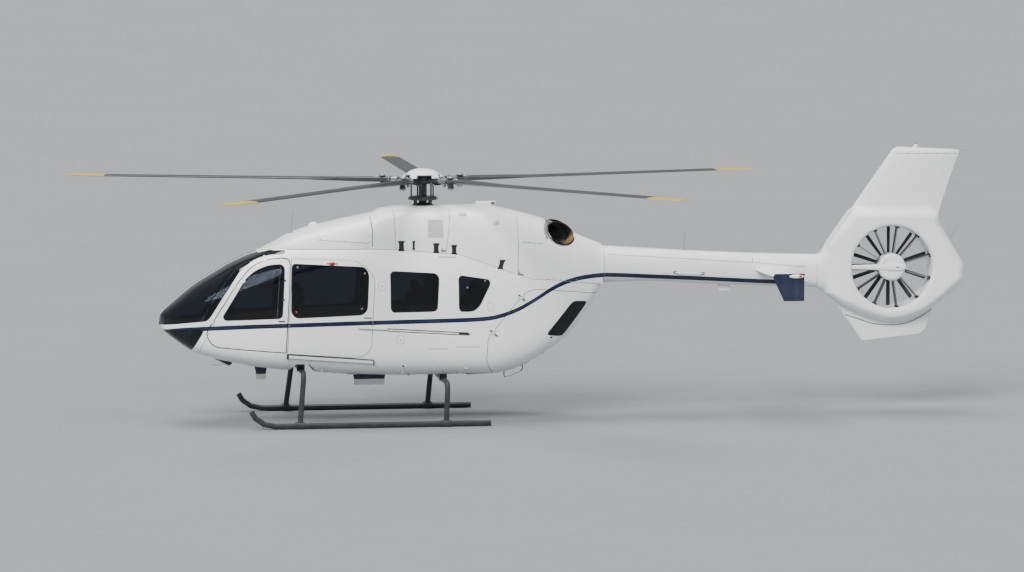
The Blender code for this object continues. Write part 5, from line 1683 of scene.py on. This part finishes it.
def add_seats():
    """Cushions with piping on hard shells and floor frames."""
    quilts = dict(base=(("x", -0.09), ("x", 0.07)), back=(("x", -0.10), ("x", 0.06)), head=())
    pads = dict(
        base=cushion_mesh((0.455, 0.385, 0.105), "seat_base", 0.014, 0.014, quilts["base"]),
        back=cushion_mesh((0.455, 0.385, 0.080), "seat_back", 0.014, 0.014, quilts["back"]),
        head=cushion_mesh((0.135, 0.245, 0.075), "head_rest", 0.011, 0.009, quilts["head"]),
    )
    cords = {key: piping(pad) for key, pad in pads.items()}
    hard = seat_frame()
    level = Vector((1.0, 0.0, -0.03)).normalized()
    behind = SEAT_FOOT - SEAT_FRONT * 0.050
    places = dict(
        base=laid(Vector((0.045, 0.0, 0.350)), level, Vector((0.03, 0.0, 1.0)).normalized()),
        back=laid(behind + SEAT_RISE * 0.265, SEAT_RISE, SEAT_FRONT),
        head=laid(behind + SEAT_RISE * 0.590, SEAT_RISE, SEAT_FRONT),
    )
    for name, node, x, y in SEAT_PLACES:
        origin = Matrix.Translation((x, y, SEAT_FLOOR))
        trim = bmesh.new()
        for key, pad in pads.items():
            made = piece(name + "_" + key, turned(pad.copy(), origin @ places[key]), ["seat"],
                         "airframe", 70)
            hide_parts(node)
            add_to(trim, cords[key].copy(), origin @ places[key])
        made = piece(name + "_piping", trim, ["piping"], "airframe", 60)
        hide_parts(node)
        made = piece(name + "_frame", turned(hard.copy(), origin), ["grey"], "airframe", 40)
        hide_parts(node)
    for shape in (*pads.values(), *cords.values(), hard):
        shape.free()


def add_console():
    """Blank screens, bezels and knobs on the instrument panel."""
    tree = surface_tree("instrument_console")
    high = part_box("instrument_console")[1]
    screens, frames, knobs = [], [], []
    for y in (-0.235, 0.0, 0.235):
        point, out = tree.ray_cast(Vector((high[0] + 0.5, y, high[2] - 0.125)),
                                   Vector((-1, 0, 0)))[:2]
        place = aim(point, -out if out.x < 0 else out, (0, 0, 1))
        frames.append(turned(soft_box((0.172, 0.212, 0.016), 0.005), place))
        screens.append(turned(soft_box((0.140, 0.182, 0.004), 0.0015, 2),
                              place @ Matrix.Translation((0.004, 0, 0.0085))))
        for k in range(6):
            knob = lathe([(0.007, 0.0), (0.0065, 0.011), (0.004, 0.012)], 12)
            spot = Matrix.Translation((-0.077, -0.080 + 0.032 * k, 0.008))
            knobs.append(turned(knob, place @ spot))
    for x in (-2.70, -2.66):
        for y in (-0.09, -0.03, 0.03, 0.09):
            point, out = tree.ray_cast(Vector((x, y, high[2] + 0.5)), Vector((0, 0, -1)))[:2]
            knob = lathe([(0.010, -0.001), (0.009, 0.012), (0.006, 0.014)], 12)
            knobs.append(turned(knob, aim(point, out)))
    add_group("panel_bezels", frames, "grey")
    add_group("panel_screens", screens, "screen")
    add_group("panel_knobs", knobs, "dark")


# Rings of a blade's cuff: distance from the mast, half width and half height
CUFF_ROWS = [
    (0.375, 0.060, 0.044), (0.405, 0.066, 0.048), (0.480, 0.056, 0.042), (0.500, 0.062, 0.045),
    (0.530, 0.056, 0.040),
]


def ring_about(x, wide, high, sides=14):
    """Oval ring of points round the X axis."""
    angles = [math.tau * k / sides for k in range(sides)]
    return [Vector((x, wide * math.cos(a), high * math.sin(a))) for a in angles]


def add_rotor_parts():
    """Cuffs, bolts, pitch horns and weights at the rotor head."""
    grey, steel, dark = [], [], []
    lead = math.radians(20.0)
    tip = Vector((0.17 * math.cos(lead), 0.17 * math.sin(lead), -0.068))
    for i in range(BLADES):
        turn = Matrix.Rotation(math.radians(FIRST_BLADE_DEG + 360.0 * i / BLADES), 4, "Z")

        def at(x, y, z):
            return turn @ Matrix.Translation((x, y, ROTOR_Z + z))

        grey.append(turned(lofted([ring_about(*row) for row in CUFF_ROWS]), at(0, 0, 0)))
        for x, y, z, size in ((0.600, 0.0, 0.055, (0.052, 0.052, 0.022)),
                              (0.600, 0.0, -0.105, (0.050, 0.050, -0.026)),
                              (0.700, 0.0, 0.030, (0.060, 0.036, 0.018))):
            grey.append(blister(size, at(x, y, z), 16, 5))
        for x, y in ((0.420, 0.030), (0.420, -0.030), (0.465, 0.0)):
            for z in (0.044, -0.050):
                bolt = lathe([(0.011, -0.004), (0.011, 0.012), (0.007, 0.015)], 6)
                steel.append(turned(bolt, at(x, y, z)))
        dark.append(rod([turn @ Vector((x, y, ROTOR_Z + z)) for x, y, z in
                         ((0.400, 0.040, -0.030), (0.300, 0.080, -0.060),
                          (tip.x + 0.01, tip.y + 0.01, tip.z))], 0.014))
        ball = lathe([(0.004, -0.020), (0.017, -0.012), (0.022, 0.0), (0.017, 0.012),
                      (0.004, 0.020)], 14)
        steel.append(turned(ball, at(*tip)))
        for y in (-0.040, 0.040):
            weight = lathe([(0.004, -0.055), (0.020, -0.050), (0.026, -0.030), (0.020, -0.012),
                            (0.012, 0.0)], 14)
            grey.append(turned(weight, at(0.505, y, -0.030)))
    add_group("rotor_cuffs", grey, "head", "main_rotor", 40)
    add_group("rotor_bolts", steel, "steel", "main_rotor", 40)
    add_group("pitch_horns", dark, "dark", "main_rotor", 40)


def add_mast_parts():
    """Rams and ring of the swashplate, and the boot at the mast's foot."""
    fixed = []
    for i in range(4):
        c, s = math.cos(math.radians(45 + 90 * i)), math.sin(math.radians(45 + 90 * i))
        fixed.append(rod([(0.13 * c, 0.13 * s, 2.36), (0.16 * c, 0.16 * s, 2.53)], 0.014))
    fixed.append(lathe([(0.215, 2.530), (0.220, 2.545), (0.215, 2.560), (0.19, 2.562),
                        (0.19, 2.528)], 32))
    collar = lathe([(0.145, 2.40), (0.150, 2.452), (0.142, 2.466), (0.110, 2.475),
                    (0.085, 2.478), (0.085, 2.40)], 36)
    add_group("swashplate_rams", fixed, "dark", smooth=40)
    add_group("mast_boot", [collar], "seal", smooth=40)


# The stage
# Suns: turn about each axis in degrees, strength, spread in degrees, shown in reflections
LAMPS = dict(
    key=((48.0, -20.0, -14.0), 4.8, 30.0, False),
    top=((-12.0, -6.0, 0.0), 2.8, 34.0, True),
    fill=((64.0, 30.0, 34.0), 0.7, 70.0, False),
)
SUN_COLOUR = (1.0, 0.985, 0.96)
SKY_COLOUR = (0.86, 0.90, 0.96)
SKY_STRENGTH = 0.47
FLOOR_COLOUR = (0.228, 0.236, 0.249)
# The photo's viewpoint and its right, up and forward directions
CAMERA_PLACE = (-8.42704, -69.32863, 7.98162)
CAMERA_RIGHT = Vector((0.99027, -0.13917, 0.0))
CAMERA_UP = Vector((0.01334, 0.09492, 0.99540))
CAMERA_AHEAD = Vector((0.13853, 0.98571, -0.09585))
CAMERA_LENS = 168.57
FLOOR_HALF = 600.0


def add_stage():
    """Pale floor, soft studio light and the camera."""
    bm = bmesh.new()
    bmesh.ops.create_grid(bm, x_segments=8, y_segments=8, size=FLOOR_HALF)
    shifted(bm, 0, 0, GROUND_Z - 0.0005)
    floor = bpy.data.meshes.new("floor")
    bm.to_mesh(floor)
    bm.free()
    finish = Finish("pale_floor")
    colour = shades(finish, FLOOR_COLOUR, 0.02, 0.3)
    rough = finish.ramp(finish.noise(3.0), 0.3, 0.7, 0.75, 0.9)
    floor.materials.append(finish.done(colour, rough))
    linked("floor", floor)

    world = bpy.data.worlds.new("studio")
    bpy.context.scene.world = world
    world.use_nodes = True
    back = world.node_tree.nodes["Background"]
    back.inputs["Color"].default_value = (*SKY_COLOUR, 1.0)
    back.inputs["Strength"].default_value = SKY_STRENGTH
    for name, (turn, strength, wide, mirrored) in LAMPS.items():
        lamp = bpy.data.lights.new(name, "SUN")
        lamp.energy = strength
        lamp.angle = math.radians(wide)
        lamp.color = SUN_COLOUR
        holder = linked(name, lamp)
        holder.rotation_euler = [math.radians(a) for a in turn]
        holder.visible_glossy = mirrored

    data = bpy.data.cameras.new("camera")
    data.sensor_width = 36.0
    data.lens = CAMERA_LENS
    data.clip_start = 1.0
    data.clip_end = 1500.0
    matrix = Matrix((CAMERA_RIGHT, CAMERA_UP, -CAMERA_AHEAD)).transposed().to_4x4()
    matrix.translation = CAMERA_PLACE
    camera = linked("camera", data)
    camera.matrix_world = matrix
    bpy.context.scene.camera = camera


def dress_nodes():
    """Finishes of the nodes that stay."""
    table = {
        "stabiliser_left": "tailplane", "stabiliser_right": "tailplane",
        "tail_stator": "stator", "tail_rotor": "dark", "crosstube_front": "dark",
        "crosstube_rear": "dark", "skid_left": "dark", "skid_right": "dark",
        "rotor_mast": "dark", "rotor_hub": "dark", "rotor_cap": "cap",
        "engine_and_gearbox": "grey", "exhaust_left": "bronze", "exhaust_right": "bronze",
        "instrument_console": "black",
    }
    for i in range(BLADES):
        table["rotor_blade_%d" % (i + 1)] = "blade"
    for node, key in table.items():
        dress(node, key)


add_skins()
dress_nodes()
add_seams()
add_latches()
add_intake_screens()
add_roof_parts()
add_exhaust_lips()
add_door_parts()
add_boom_parts()
add_belly_parts()
add_soft_fin()
add_fin_parts()
add_stabiliser_parts()
add_seats()
add_console()
add_duct_parts()
add_rotor_parts()
add_mast_parts()
add_stage()
